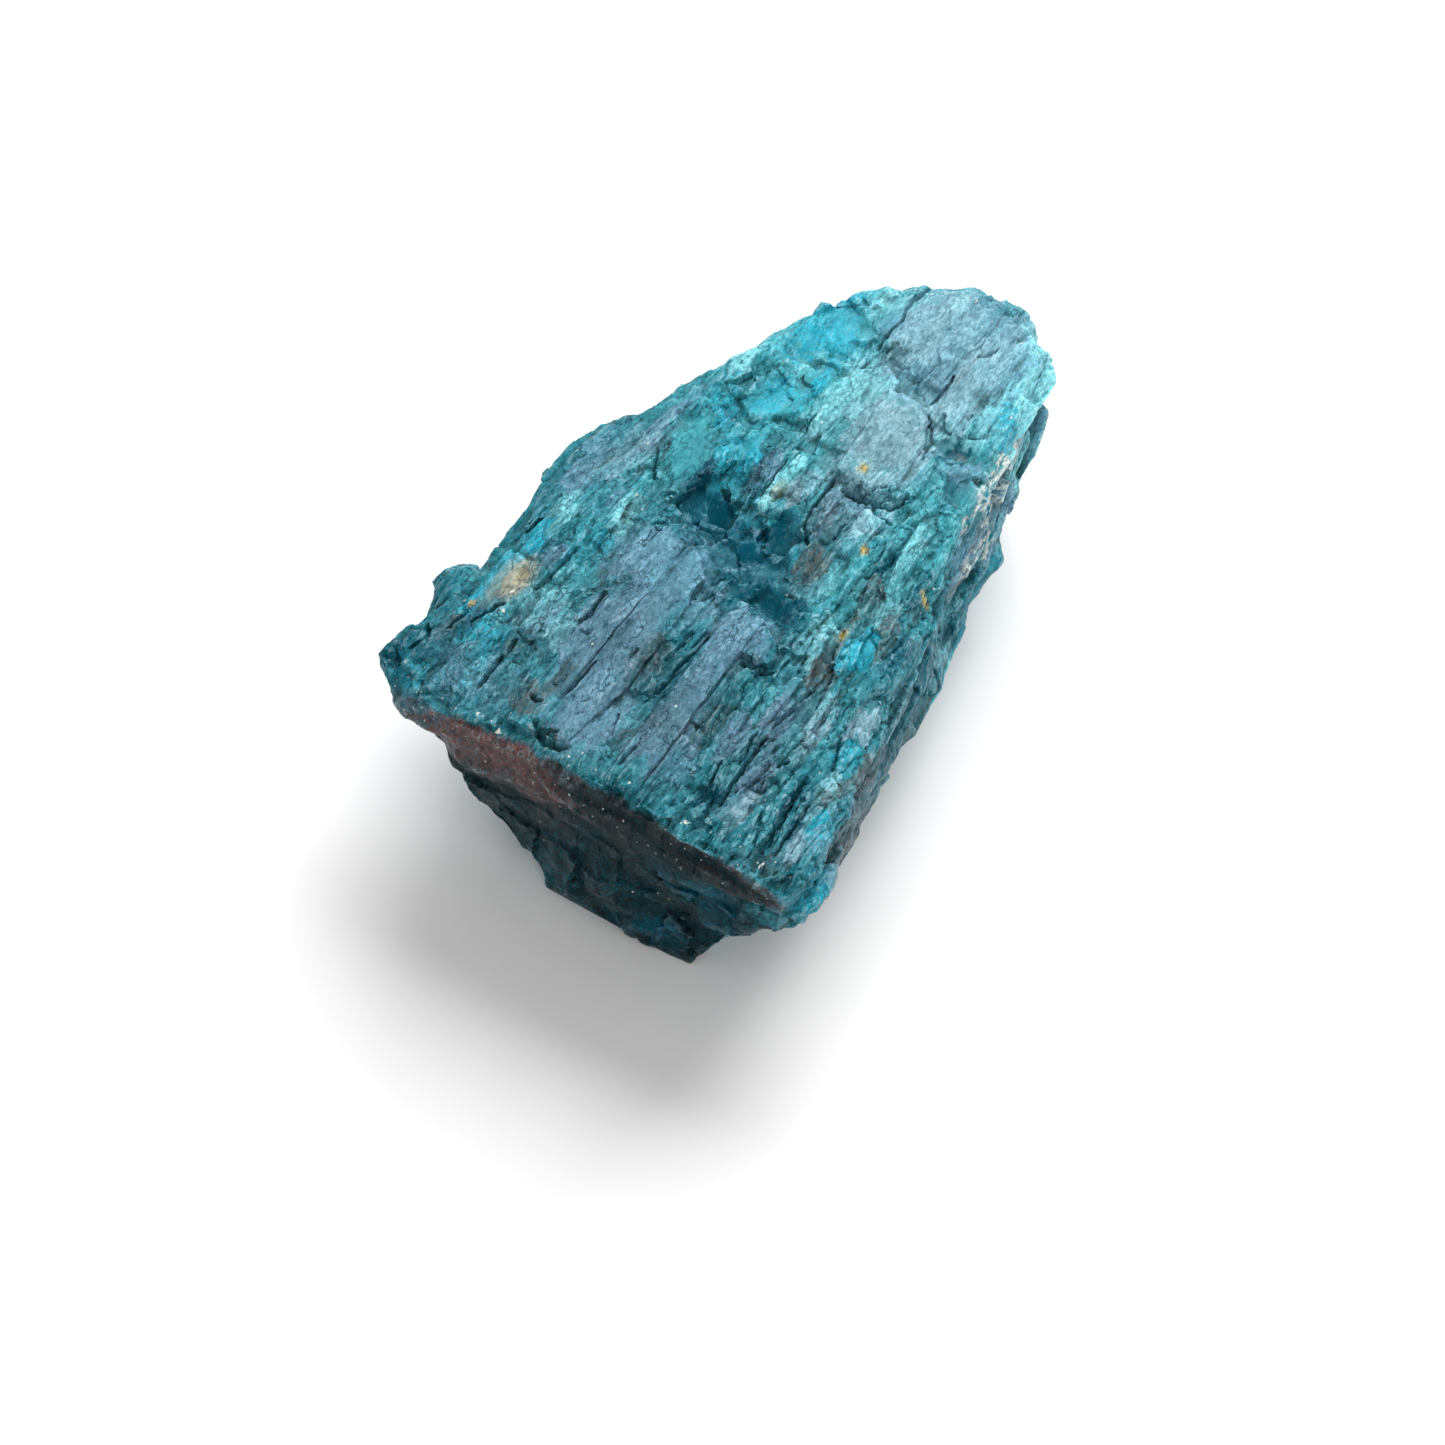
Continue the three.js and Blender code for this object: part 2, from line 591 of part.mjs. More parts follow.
// A broken lump, or the space it left: the hull of points scattered over an ellipsoid.
function chunkSolid({ at, half, turn }, random, corners = 14) {
  const points = [];
  const golden = Math.PI * (3 - Math.sqrt(5));
  for (let i = 0; i < corners; i++) {
    const rise = 1 - (2 * (i + 0.5)) / corners;
    const spread = Math.sqrt(1 - rise * rise);
    const angle = i * golden + random() * 0.6;
    const reach = 0.86 + 0.3 * random();
    points.push(
      new THREE.Vector3(Math.cos(angle) * spread, Math.sin(angle) * spread, rise)
        .multiply(new THREE.Vector3(...half))
        .multiplyScalar(reach)
        .applyAxisAngle(new THREE.Vector3(0, 0, 1), turn)
        .add(new THREE.Vector3(...at)),
    );
  }
  return hullOf(points);
}

// A long low ridge that lies on a face, along the striations, and runs out at both ends.
function splinterSolid(middle, outward, along, length, width, proud, random) {
  const across = new THREE.Vector3().crossVectors(outward, along).normalize();
  const points = [];
  for (const end of [-1, 1]) {
    const skew = (random() - 0.5) * width;
    for (const side of [-1, 1]) {
      for (const [level, shrink] of [[-SPLINTER_ROOT, 1], [proud * (0.6 + 0.4 * random()), SPLINTER_CREST]]) {
        points.push(
          middle
            .clone()
            .addScaledVector(along, end * length * (0.5 - (1 - shrink) * 0.35) + side * skew)
            .addScaledVector(across, (side * width * shrink) / 2)
            .addScaledVector(outward, level),
        );
      }
    }
  }
  return hullOf(points);
}

// The point and the outward normal on one side of the body, at a share of the way from one corner line to
// the next.
function onSide(corner, share, y) {
  const next = SECTIONS.findIndex((section) => section.y > y);
  const [near, far] = [SECTIONS[next - 1], SECTIONS[next]];
  const mix = (y - near.y) / (far.y - near.y);
  const other = (corner + 1) % near.ring.length;
  const at = (section) => {
    const [x0, z0] = section.ring[corner];
    const [x1, z1] = section.ring[other];
    return new THREE.Vector3(x0 + (x1 - x0) * share, section.y, z0 + (z1 - z0) * share);
  };
  const along = at(far).sub(at(near)).normalize();
  const edge = new THREE.Vector3(
    near.ring[other][0] - near.ring[corner][0],
    0,
    near.ring[other][1] - near.ring[corner][1],
  );
  const outward = new THREE.Vector3().crossVectors(edge, along).normalize();
  return { point: at(near).lerp(at(far), mix), outward, along };
}

// Splinters scattered along the flanks: which side of the body, how many, and how proud they stand.
const RIBBED_SIDES = [
  { corner: 3, count: 14, proud: 0.4, seed: 11 }, // right flank
  { corner: 2, count: 5, proud: 0.3, seed: 23 }, // right edge
  { corner: 4, count: 8, proud: 0.4, seed: 37 }, // under the right flank
  { corner: 6, count: 10, proud: 0.45, seed: 41 }, // under the left flank
  { corner: 7, count: 7, proud: 0.35, seed: 53 }, // left flank
];

function flankSplinters() {
  return RIBBED_SIDES.flatMap(({ corner, count, proud, seed }) => {
    const random = randomFrom(seed);
    return Array.from({ length: count }, (_, i) => {
      const y = END_Y + 2.5 + ((i + random()) / count) * (TIP_Y - END_Y - 7);
      const { point, outward, along } = onSide(corner, 0.12 + 0.76 * random(), y);
      return splinterSolid(point, outward, along, 4 + 5 * random(), 0.9 + 1.1 * random(), proud, random);
    });
  });
}

// Fine splinters on the slabs of the upper face.
function deckSplinters() {
  const random = randomFrom(7);
  return SLABS.flatMap((slab) => {
    const xs = slab.outline.map(([x]) => x);
    const ys = slab.outline.map(([, y]) => y);
    const [x0, x1, y0, y1] = [Math.min(...xs), Math.max(...xs), Math.min(...ys), Math.max(...ys)];
    const count = Math.floor(((x1 - x0) * (y1 - y0)) / SPLINTER_SHARE);
    return Array.from({ length: count }, () => {
      const x = x0 + (x1 - x0) * (0.25 + 0.5 * random());
      const y = y0 + (y1 - y0) * (0.25 + 0.5 * random());
      const normal = new THREE.Vector3(-slab.slope[0], -slab.slope[1], 1).normalize();
      const along = new THREE.Vector3(0.03 * (random() - 0.5), 1, slab.slope[1]).normalize();
      const length = (y1 - y0) * (0.3 + 0.3 * random());
      const middle = new THREE.Vector3(
        x,
        y,
        slab.top + slab.slope[0] * (x - (x0 + x1) / 2) + slab.slope[1] * (y - (y0 + y1) / 2),
      );
      return splinterSolid(middle, normal, along, length, 0.4 + 0.5 * random(), 0.16, random);
    });
  });
}

// The least and the greatest x of the body at one place along the stone and one height.
function widthAt(y, z) {
  const ring = ringAt(y);
  const crossings = ring.flatMap(([x, height], c) => {
    const [nextX, nextHeight] = ring[(c + 1) % ring.length];
    const within = Math.min(height, nextHeight) <= z && z < Math.max(height, nextHeight);
    return within ? [x + ((nextX - x) * (z - height)) / (nextHeight - height)] : [];
  });
  return [Math.min(...crossings), Math.max(...crossings)];
}

function grainSolids() {
  return GRAINS.flatMap(({ from, to, count, half, seed }) => {
    const random = randomFrom(seed);
    return Array.from({ length: count }, () => {
      const at = from.map((low, axis) => low + (to[axis] - low) * random());
      const [left, right] = widthAt(Math.max(at[1], END_Y), Math.min(at[2], 11));
      at[0] = Math.min(Math.max(at[0], left + GRAIN_INSET), right - GRAIN_INSET);
      const size = [0, 1, 2].map((axis) => half * (0.6 + 0.6 * random()) * (axis === 1 ? 1.2 : 1));
      return chunkSolid({ at, half: size, turn: (random() - 0.5) * 2 }, random, 10);
    });
  });
}

function stoneSolid() {
  const random = randomFrom(3);
  const belowRestingFace = solidFrom(new THREE.BoxGeometry(80, 80, 10).translate(0, 0, -5));
  const added = [
    bodySolid(),
    ...LUMPS.map((lump) => chunkSolid(lump, random, 13)),
    ...SLABS.map((slab) => slabSolid(slab, random)),
    ...grainSolids(),
    ...deckSplinters(),
    ...flankSplinters(),
  ];
  const removed = [
    ...HOLLOWS.map((hollow) => chunkSolid(hollow, random)),
    ...POCKETS.map((pocket) => chunkSolid(pocket, random)),
    ...GROOVES.map(grooveSolid),
    belowRestingFace,
  ];
  const joined = added.reduce((all, next) => all.add(next));
  const broken = removed.reduce((all, next) => all.subtract(next), joined);
  // Only the outer skin counts: a space closed off among the grains is filled, and a loose crumb is left off.
  return broken.decompose().reduce((best, next) => (next.volume() > best.volume() ? next : best));
}

// A solid as a three.js geometry, with its origin on the resting face, below the middle of its bounding box.
function geometryFrom(solid) {
  const mesh = solid.getMesh();
  const geometry = new THREE.BufferGeometry();
  geometry.setAttribute("position", new THREE.BufferAttribute(mesh.vertProperties, 3));
  geometry.setIndex(new THREE.BufferAttribute(mesh.triVerts, 1));
  geometry.computeBoundingBox();
  const middle = geometry.boundingBox.getCenter(new THREE.Vector3());
  geometry.translate(-middle.x, -middle.y, 0);
  geometry.computeVertexNormals();
  return geometry;
}

const stone = new THREE.Mesh(
  geometryFrom(stoneSolid()),
  new THREE.MeshStandardMaterial({ color: 0x3f8894, roughness: 0.42, metalness: 0, flatShading: true }),
);
stone.name = "apatite";

const rough = new THREE.Group();
rough.name = "rough_apatite";
rough.add(stone);

export default rough;
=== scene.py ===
# A rough chunk of blue-green apatite on a pale floor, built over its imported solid.
#
# The stone is one mesh: a fine copy of the solid, with its thinnest crystals blunted, the pits of its wide
# end filled and its slab edges ragged. Split blocks, cleavage steps, cracks, grains and glassy faces are then
# worked into it. It is in millimetres until its last step. The colours are pigments of one procedural
# material. Where each pigment lies is kept as a vertex attribute, and finer noise breaks its border up.
import math
from itertools import product

import bpy
import numpy as np
from mathutils import Matrix, Vector
from mathutils.bvhtree import BVHTree


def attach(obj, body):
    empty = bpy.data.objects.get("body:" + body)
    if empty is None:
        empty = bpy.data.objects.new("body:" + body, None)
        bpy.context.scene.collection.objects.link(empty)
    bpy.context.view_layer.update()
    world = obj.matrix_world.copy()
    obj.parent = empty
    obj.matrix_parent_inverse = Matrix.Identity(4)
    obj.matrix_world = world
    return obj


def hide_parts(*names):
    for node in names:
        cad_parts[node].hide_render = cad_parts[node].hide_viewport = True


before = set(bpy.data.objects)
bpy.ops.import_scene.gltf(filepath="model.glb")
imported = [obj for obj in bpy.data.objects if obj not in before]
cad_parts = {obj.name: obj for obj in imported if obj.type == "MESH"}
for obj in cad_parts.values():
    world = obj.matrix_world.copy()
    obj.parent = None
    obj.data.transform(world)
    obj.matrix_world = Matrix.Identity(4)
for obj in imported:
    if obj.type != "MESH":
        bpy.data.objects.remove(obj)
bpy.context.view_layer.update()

MM = 0.001
NODE = "apatite"

# ---- sizes, in millimetres ----
VOXEL = 0.11  # the grid that the solid's copy is remeshed on
MOST_TRIANGLES = 197000
BED = 0.35  # height over which the resting face stays flat
SHARP = 38  # degrees between faces that meet in a crisp edge
# Where the solid ends in thin crystals: the centre and half size of the space around each, and its bluntness.
BLUNT = (
    ((11.5, -22.3, 2.6), (4.4, 3.2, 4.4), 1.0),
    ((14.0, -21.6, 6.0), (2.4, 2.2, 2.4), 1.0),
    ((-15.3, -12.4, 9.8), (1.8, 2.0, 2.2), 0.25),
    ((-13.6, -21.0, 10.3), (2.1, 2.1, 2.0), 0.8),
)
END_RIM = 11.6  # the height below which the wide end's pits and grooves are filled
COARSER = 0.002  # how strongly the less seen triangles are joined first

# Rounds of smoothing, on the solid's own points and on those of the fine copy.
BLUNT_ROUNDS = 7
FILL_ROUNDS = 14
THIN_ROUNDS = 60  # for points and fins of the fine copy
LAST_THIN_ROUNDS = 10
RIM_ROUNDS = 45  # for the way that the surface faces: near each point
FACING_ROUNDS = 50  # and over the broad face that it is part of
BROAD_ROUNDS = 90
COLOUR_FACING_ROUNDS = 220

# ---- the camera: where it looks, from what bearing and height, and how far away ----
AIM = Vector((3.52, -10.38, 7.0)) * MM
BEARING = math.radians(33)
ELEVATION = math.radians(55)
DISTANCE = 0.300
LENS = 129.3

# The plan that the places below are given in has its zero here, in millimetres off the frame's own.
PLAN_ZERO = np.array([-1.637, -0.287, 0.0])

# The height of the upper face is read on a grid. Gaps narrower than the windows are mostly filled.
GRID_CORNER = (-18.0, -25.0)
GRID_SIZE = (36.0, 50.0)
GRID_STEP = 0.12
GAP_CELLS = (4, 2)  # half the window, across and along the fibres
STEP_CELLS = 14  # half the window that a step is judged in
SKY = 30.0  # a height above all of the stone
GAP_FILLED = 0.85
STEPS_KEPT = 0.55


# ---------------------------------------------------------------- noise
def mixed_bits(i, j, k, seed):
    """One well mixed whole number for each lattice point."""
    with np.errstate(over="ignore"):
        h = (
            i.astype(np.uint32) * np.uint32(0x8DA6B343)
            ^ j.astype(np.uint32) * np.uint32(0xD8163841)
            ^ k.astype(np.uint32) * np.uint32(0xCB1AB31F)
            ^ np.uint32((seed * 0x9E3779B9) & 0xFFFFFFFF)
        )
        h ^= h >> np.uint32(15)
        h *= np.uint32(0x2C1B3C6D)
        h ^= h >> np.uint32(12)
        h *= np.uint32(0x297A2D39)
        h ^= h >> np.uint32(15)
    return h


def three_parts(h):
    """Three whole numbers from 0 to 1023 out of each well mixed one."""
    return [((h >> np.uint32(shift)) & np.uint32(1023)).astype(np.float32) for shift in (0, 10, 20)]


def noise(p, seed):
    """Smooth noise from about -1 to 1 at each row of p."""
    cell = np.floor(p).astype(np.int64)
    f = (p - cell).astype(np.float32)
    w = f * f * f * (f * (f * 6 - 15) + 10)
    total = np.zeros(len(p), np.float32)
    for dx in (0, 1):
        wx = w[:, 0] if dx else 1 - w[:, 0]
        for dy in (0, 1):
            wy = w[:, 1] if dy else 1 - w[:, 1]
            for dz in (0, 1):
                wz = w[:, 2] if dz else 1 - w[:, 2]
                h = mixed_bits(cell[:, 0] + dx, cell[:, 1] + dy, cell[:, 2] + dz, seed)
                gx, gy, gz = (part / 511.5 - 1 for part in three_parts(h))
                dot = gx * (f[:, 0] - dx) + gy * (f[:, 1] - dy) + gz * (f[:, 2] - dz)
                total += wx * wy * wz * dot
    return total * 1.5


def fractal(p, octaves, seed, gain=0.5):
    """Noise of several sizes, each about half the size of the one before it and fainter by the gain."""
    total, size, norm = 0, 1.0, 0
    for octave in range(octaves):
        total = total + size * noise(p * 2.03**octave, seed + octave * 17)
        norm += size
        size *= gain
    return total / norm


def middles_near(p, inset, seed):
    """The middle of each of the 27 cells around each row of p: its number, and the way from it to p."""
    base = np.floor(p).astype(np.int64)
    f = (p - base).astype(np.float32)
    for step in product((-1, 0, 1), repeat=3):
        h = mixed_bits(*(base + step).T, seed)
        parts = enumerate(three_parts(h))
        yield h, [f[:, axis] - step[axis] - inset - (1 - 2 * inset) * part / 1023 for axis, part in parts]


def blocks(p, seed):
    """The rough box each point lies in: its number, the way from its middle, the distance to its border."""
    first = np.full(len(p), 99.0, np.float32)
    second = first.copy()
    number = np.zeros(len(p), np.uint32)
    away = np.zeros((len(p), 3), np.float32)
    for h, way in middles_near(p, 0.1, seed):
        offset = np.stack(way, 1)
        d = np.sum(offset**4, 1)
        nearer = d < first
        second = np.where(nearer, first, np.minimum(second, d))
        first = np.where(nearer, d, first)
        number = np.where(nearer, h, number)
        away[nearer] = offset[nearer]
    return number, away, second**0.25 - first**0.25


def share(number, salt):
    """A number from 0 to 1 for each cell."""
    h = mixed_bits(number, number, number, salt)
    return (h & np.uint32(65535)).astype(np.float32) / 65535


def ramp(x, low, high):
    t = np.clip((x - low) / (high - low), 0, 1)
    return t * t * (3 - 2 * t)


def split(packing, step, lean, groove):
    """The height of a face that split into blocks, each of them at its own level and with its own tilt."""
    number, away, border = packing
    height = step * (2 * share(number, 1) - 1)
    height += lean * (away[:, 0] * (2 * share(number, 2) - 1) + away[:, 1] * (2 * share(number, 3) - 1))
    return height - groove * (1 - ramp(border, 0.0, 0.1))


# ---------------------------------------------------------------- mesh helpers
def copy_of_solid():
    """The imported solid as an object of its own, in millimetres for now."""
    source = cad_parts[NODE]
    piece = bpy.data.objects.new("rough_stone", source.data.copy())
    bpy.context.collection.objects.link(piece)
    piece.data.transform(Matrix.Scale(1 / MM, 4) @ source.matrix_world)
    piece.data.materials.clear()
    return piece


def apply_modifier(piece, kind, **settings):
    modifier = piece.modifiers.new(kind.lower(), kind)
    for key, value in settings.items():
        setattr(modifier, key, value)
    with bpy.context.temp_override(object=piece, active_object=piece, selected_objects=[piece]):
        bpy.ops.object.modifier_apply(modifier=modifier.name)


def read_array(items, key, width, kind=np.float32):
    flat = np.empty(len(items) * width, kind)
    items.foreach_get(key, flat)
    return flat.reshape(-1, width)


def vertex_array(mesh):
    return read_array(mesh.vertices, "co", 3)


def normal_array(mesh):
    return read_array(mesh.vertex_normals, "vector", 3)


def edge_array(mesh):
    return read_array(mesh.edges, "vertices", 2, np.int32)


def write_vertices(mesh, places):
    mesh.vertices.foreach_set("co", places.astype(np.float32).ravel())
    mesh.update()


def smoothed(values, edges, rounds):
    """Each vertex's value drawn towards its neighbours', as many times as asked."""
    count = np.maximum(np.bincount(edges.ravel(), minlength=len(values)), 1).astype(np.float32)[:, None]
    for _ in range(rounds):
        total = np.empty_like(values)
        for axis in range(values.shape[1]):
            column = values[:, axis]
            total[:, axis] = np.bincount(edges[:, 0], column[edges[:, 1]], len(values))
            total[:, axis] += np.bincount(edges[:, 1], column[edges[:, 0]], len(values))
        values = 0.5 * values + 0.5 * total / count
    return values


def blunted(mesh, places, edges, rounds):
    """Thin points and fins rounded off: wherever the surface turns back on itself within a short way."""
    write_vertices(mesh, places)
    turn = np.linalg.norm(smoothed(normal_array(mesh), edges, rounds), axis=1)
    thin = 1 - ramp(turn, 0.35, 0.68)
    return places + (smoothed(places, edges, rounds) - places) * thin[:, None]


def rounded_off(places, edges):
    """The solid's thin crystals made blunt, each within an ellipsoid around it."""
    inside = np.zeros(len(places), np.float32)
    for centre, half, bluntness in BLUNT:
        away = np.linalg.norm((places - centre) / half, axis=1)
        inside = np.maximum(inside, bluntness * (1 - ramp(away, 0.55, 1.0)))
    return places + (smoothed(places, edges, BLUNT_ROUNDS) - places) * inside[:, None]


def pits_filled(places, edges):
    """The wide end's pits and grooves brought forward to the faces around them."""
    below_rim = ramp(END_RIM - places[:, 2], 0.0, 1.0)
    on_end = ramp(-places[:, 1], 17.5, 19.0) * below_rim
    count = np.maximum(np.bincount(edges.ravel(), minlength=len(places)), 1)
    y = places[:, 1].astype(np.float64)
    for _ in range(FILL_ROUNDS):
        total = np.bincount(edges[:, 0], y[edges[:, 1]], len(y))
        total += np.bincount(edges[:, 1], y[edges[:, 0]], len(y))
        y += on_end * (np.minimum(y, total / count) - y)
    return np.stack([places[:, 0], y, places[:, 2]], 1)


# ---------------------------------------------------------------- the broken surface
def reach(x, y, centre, half, turn=0.0):
    """0 in the middle of an ellipse of the plan, 1 on its border. A turn leans its far end to the left."""
    dx, dy = x - centre[0], y - centre[1]
    cos, sin = math.cos(turn), math.sin(turn)
    return np.hypot((dx * cos + dy * sin) / half[0], (dy * cos - dx * sin) / half[1])


# Places that broke into grains: centre, half size and, where it leans, turn.
GRANULAR = (
    ((-2.4, 14.4), (2.2, 4.4), 0.2),
    ((-3.9, 7.6), (2.9, 2.6)),
    ((1.6, -2.6), (4.6, 2.2), -0.35),
    ((9.6, 7.6), (1.5, 3.0), 0.1),
    ((8.2, 10.2), (1.0, 1.0)),
)

# Smooth slabs, in the same way.
SLABS = (
    ((-1.4, -6.4), (3.0, 3.4)),
    ((-0.9, -12.0), (2.4, 5.0)),
    ((1.0, -17.2), (2.3, 2.6)),
    ((5.2, -8.2), (1.9, 1.9)),
    ((5.0, -13.2), (1.1, 4.2)),
    ((5.2, -17.4), (1.1, 2.0)),
    ((4.9, 8.3), (2.6, 3.9)),
    ((2.4, 17.8), (2.4, 3.6)),
    ((5.9, 16.2), (1.7, 4.4)),
    ((-9.4, -0.4), (1.6, 2.4), -0.3),
)

# Cracks that show on the upper face: the points that each runs through, its width and its depth.
CRACKS = (
    # the tip and the plateau
    (((0.15, 20.6), (0.1, 18.5), (0.35, 16.8), (0.25, 15.6), (0.35, 14.3)), 0.15, 0.4),
    (((5.2, 15.0), (5.25, 13.6), (5.15, 12.5)), 0.16, 0.35),
    (((5.5, 11.6), (6.1, 11.0), (6.6, 10.2), (6.75, 9.4), (7.1, 8.4)), 0.12, 0.3),
    (((4.3, 4.1), (5.9, 4.25), (6.8, 4.3), (7.4, 4.8), (7.7, 5.6)), 0.2, 0.55),
    (((5.3, 4.2), (5.8, 4.9), (6.4, 5.4)), 0.1, 0.25),
    (((6.3, 4.2), (6.7, 3.7), (7.9, 3.6)), 0.12, 0.3),
    (((0.2, 7.6), (0.25, 6.4), (0.35, 5.8)), 0.1, 0.3),
    (((0.45, 4.0), (0.45, 1.2)), 0.1, 0.3),
    (((3.45, 4.6), (3.5, 2.2), (3.7, 0.8), (4.6, -0.3)), 0.14, 0.35),
    (((5.65, 2.2), (5.75, 0.9)), 0.1, 0.2),
    (((6.3, 18.0), (6.1, 17.3), (5.7, 17.0)), 0.1, 0.25),
    # the first large slab
    (((-3.0, -9.9), (-2.95, -11.4), (-3.05, -12.3)), 0.2, 0.45),
    (((-2.7, -12.85), (-2.2, -12.9)), 0.1, 0.2),
    (((-0.75, -14.3), (-0.8, -15.8), (-0.95, -16.9)), 0.13, 0.4),
    (((0.85, -12.3), (0.8, -13.2)), 0.1, 0.3),
    (((2.6, -9.3), (2.55, -12.0)), 0.1, 0.25),
    (((2.3, -16.5), (2.9, -18.6)), 0.1, 0.2),
    (((-1.3, -19.6), (-0.3, -20.2), (1.0, -20.0)), 0.3, 0.4),
    (((-2.5, -18.1), (-1.9, -18.1)), 0.25, 0.35),
    # the second large slab and its hooked edge
    (((3.2, -13.9), (3.3, -11.5), (3.6, -9.2)), 0.17, 0.45),
    (((6.2, -9.7), (7.2, -9.6), (8.0, -9.1)), 0.14, 0.25),
    (((7.2, -9.8), (7.15, -11.2)), 0.15, 0.3),
    (((6.6, -13.0), (6.6, -14.6)), 0.1, 0.2),
    (((4.4, -18.0), (4.3, -19.3)), 0.15, 0.25),
    # between the strips towards the right edge
    (((10.05, -13.2), (10.15, -16.0), (10.3, -18.2)), 0.16, 0.5),
    (((9.6, -13.3), (9.75, -15.5)), 0.1, 0.3),
    (((8.9, -16.0), (9.2, -17.6)), 0.14, 0.35),
    (((10.3, -8.9), (10.15, -10.8), (10.1, -12.5)), 0.12, 0.3),
    (((11.1, -14.4), (11.2, -15.4), (10.9, -16.4)), 0.1, 0.25),
    (((12.0, -13.8), (11.6, -14.4)), 0.15, 0.3),
    (((13.4, -14.5), (13.7, -17.0), (13.9, -19.6)), 0.16, 0.45),
    (((14.5, -14.5), (14.6, -17.5), (14.7, -19.5)), 0.13, 0.4),
    (((13.6, -10.9), (14.0, -12.0), (14.4, -13.0)), 0.12, 0.3),
    # the left side
    (((-5.55, -15.1), (-5.5, -16.0)), 0.15, 0.4),
    (((-5.6, -16.6), (-5.5, -19.0)), 0.2, 0.4),
    (((-6.3, -8.0), (-6.5, -10.0), (-6.8, -11.5)), 0.2, 0.4),
    (((-9.4, -6.9), (-9.7, -8.2)), 0.15, 0.5),
    (((-10.9, -16.4), (-10.2, -17.2), (-10.8, -18.3)), 0.15, 0.3),
    (((-9.4, -14.6), (-9.6, -16.2)), 0.15, 0.4),
    (((-7.8, -13.3), (-8.6, -15.2)), 0.18, 0.4),
    (((-6.6, 1.0), (-6.0, -0.2), (-5.5, -1.0)), 0.12, 0.3),
)

# Ripples where a slab snapped off: centre, reach, distance from crest to crest and height.
RIPPLES = (
    ((-3.1, -4.0), 0.9, 0.42, 0.08),
    ((-1.2, -3.4), 1.4, 0.48, 0.08),
    ((-3.9, -1.8), 0.9, 0.4, 0.1),
    ((1.8, -11.0), 0.8, 0.5, 0.06),
)

# Dents: centre, half size, depth and turn.
DENTS = (
    ((-2.0, -0.9), (1.6, 1.3), 0.25, -0.3),
    ((2.7, -2.8), (1.5, 0.6), 0.3, -0.2),
    ((4.9, -5.2), (1.9, 0.7), 0.3, -0.1),
    ((3.1, -0.5), (1.4, 0.6), 0.4, 0.2),
    ((8.3, 10.3), (0.9, 0.6), 0.15, 0.4),
    ((9.2, 1.3), (0.35, 0.45), 0.2, 0.2),
    ((7.2, -13.2), (1.0, 2.4), 0.12),
    ((9.3, -18.3), (1.3, 0.6), 0.25),
    ((3.2, -3.8), (0.5, 0.7), -0.3),
)

# Flat faces where a grain split: the corners, the rise of the face along x and along y, and its glassiness.
GLASSY = (
    (((-3.7, -1.8), (-2.2, -2.2), (-1.3, -1.4), (-3.0, 0.6)), (0.12, 0.10), 1.0),
    (((-1.3, -1.4), (-0.1, -1.3), (-0.1, -0.6), (-2.5, 0.9), (-3.0, 0.6)), (-0.10, 0.40), 1.0),
    (((0.7, -2.0), (1.9, -3.0), (3.1, -2.0), (1.6, -1.3)), (-0.15, 0.20), 0.8),
    (((1.7, 0.3), (2.7, -1.7), (3.9, -1.5), (4.1, -0.3), (3.1, 1.0)), (0.10, 0.30), 0.6),
    (((2.4, -5.1), (2.4, -6.1), (3.7, -5.8), (4.4, -3.7)), (-0.10, 0.30), 0.7),
    (((3.7, -5.8), (6.5, -5.7), (6.2, -4.2), (4.4, -3.7)), (0.15, 0.30), 0.6),
    (((2.0, -3.5), (2.7, -4.5), (4.4, -3.7), (4.7, -2.8), (3.2, -2.4)), (0.05, 0.05), 0.4),
    (((-2.5, 3.7), (-1.7, 2.5), (-1.3, 3.6), (-1.8, 4.7)), (0.25, 0.05), 0.8),
    (((-7.0, 3.8), (-5.4, 0.7), (-4.1, -0.9), (-3.1, 1.4), (-5.4, 4.3)), (0.08, 0.04), 0.55),
    (((-4.4, 6.6), (-3.0, 5.5), (-1.2, 7.1), (-2.5, 8.6)), (0.12, -0.08), 0.6),
    (((-4.4, 12.0), (-3.0, 10.9), (-1.8, 12.1), (-2.3, 13.4), (-4.2, 13.9)), (0.16, 0.08), 0.5),
    (((-4.5, 14.6), (-2.3, 13.6), (-0.8, 14.2), (-0.1, 15.0), (-2.9, 16.5)), (0.10, -0.10), 0.5),
    (((-1.9, 15.6), (-0.3, 15.3), (0.4, 16.6), (-0.1, 19.2)), (0.05, 0.02), 0.3),
    (((6.6, 10.2), (7.7, 9.8), (9.0, 10.2), (10.1, 11.4), (9.1, 12.1)), (-0.05, 0.25), 0.5),
    (((8.9, 8.2), (9.5, 6.9), (10.8, 7.2), (10.9, 8.8), (9.7, 9.4)), (-0.10, 0.10), 0.4),
)


def glassy_share(plan, corners):
    """1 on a glassy face, falling to 0 just outside its outline."""
    wobble = 0.12 * fractal(plan * 1.1, 3, 170)
    x, y = plan[:, 0] + wobble, plan[:, 1] - wobble
    outside = np.full(len(plan), -99.0)
    for (ax, ay), (bx, by) in zip(corners, corners[1:] + corners[:1]):
        across = ((x - ax) * (by - ay) - (y - ay) * (bx - ax)) / math.hypot(bx - ax, by - ay)
        outside = np.maximum(outside, across)
    return (1 - ramp(outside, -0.06, 0.14)) * top_share(plan)


def top_share(plan):
    return ramp(plan[:, 2], 9.8, 10.8)


def end_share(plan, facing):
    """1 on the wide end, judged by the way the surface mostly faces there."""
    rim = 0.1 * ramp(plan[:, 2], 9.0, 11.0)
    return ramp(-facing[:, 1] - rim, 0.46, 0.64) * ramp(-plan[:, 1], 19.0, 20.5)


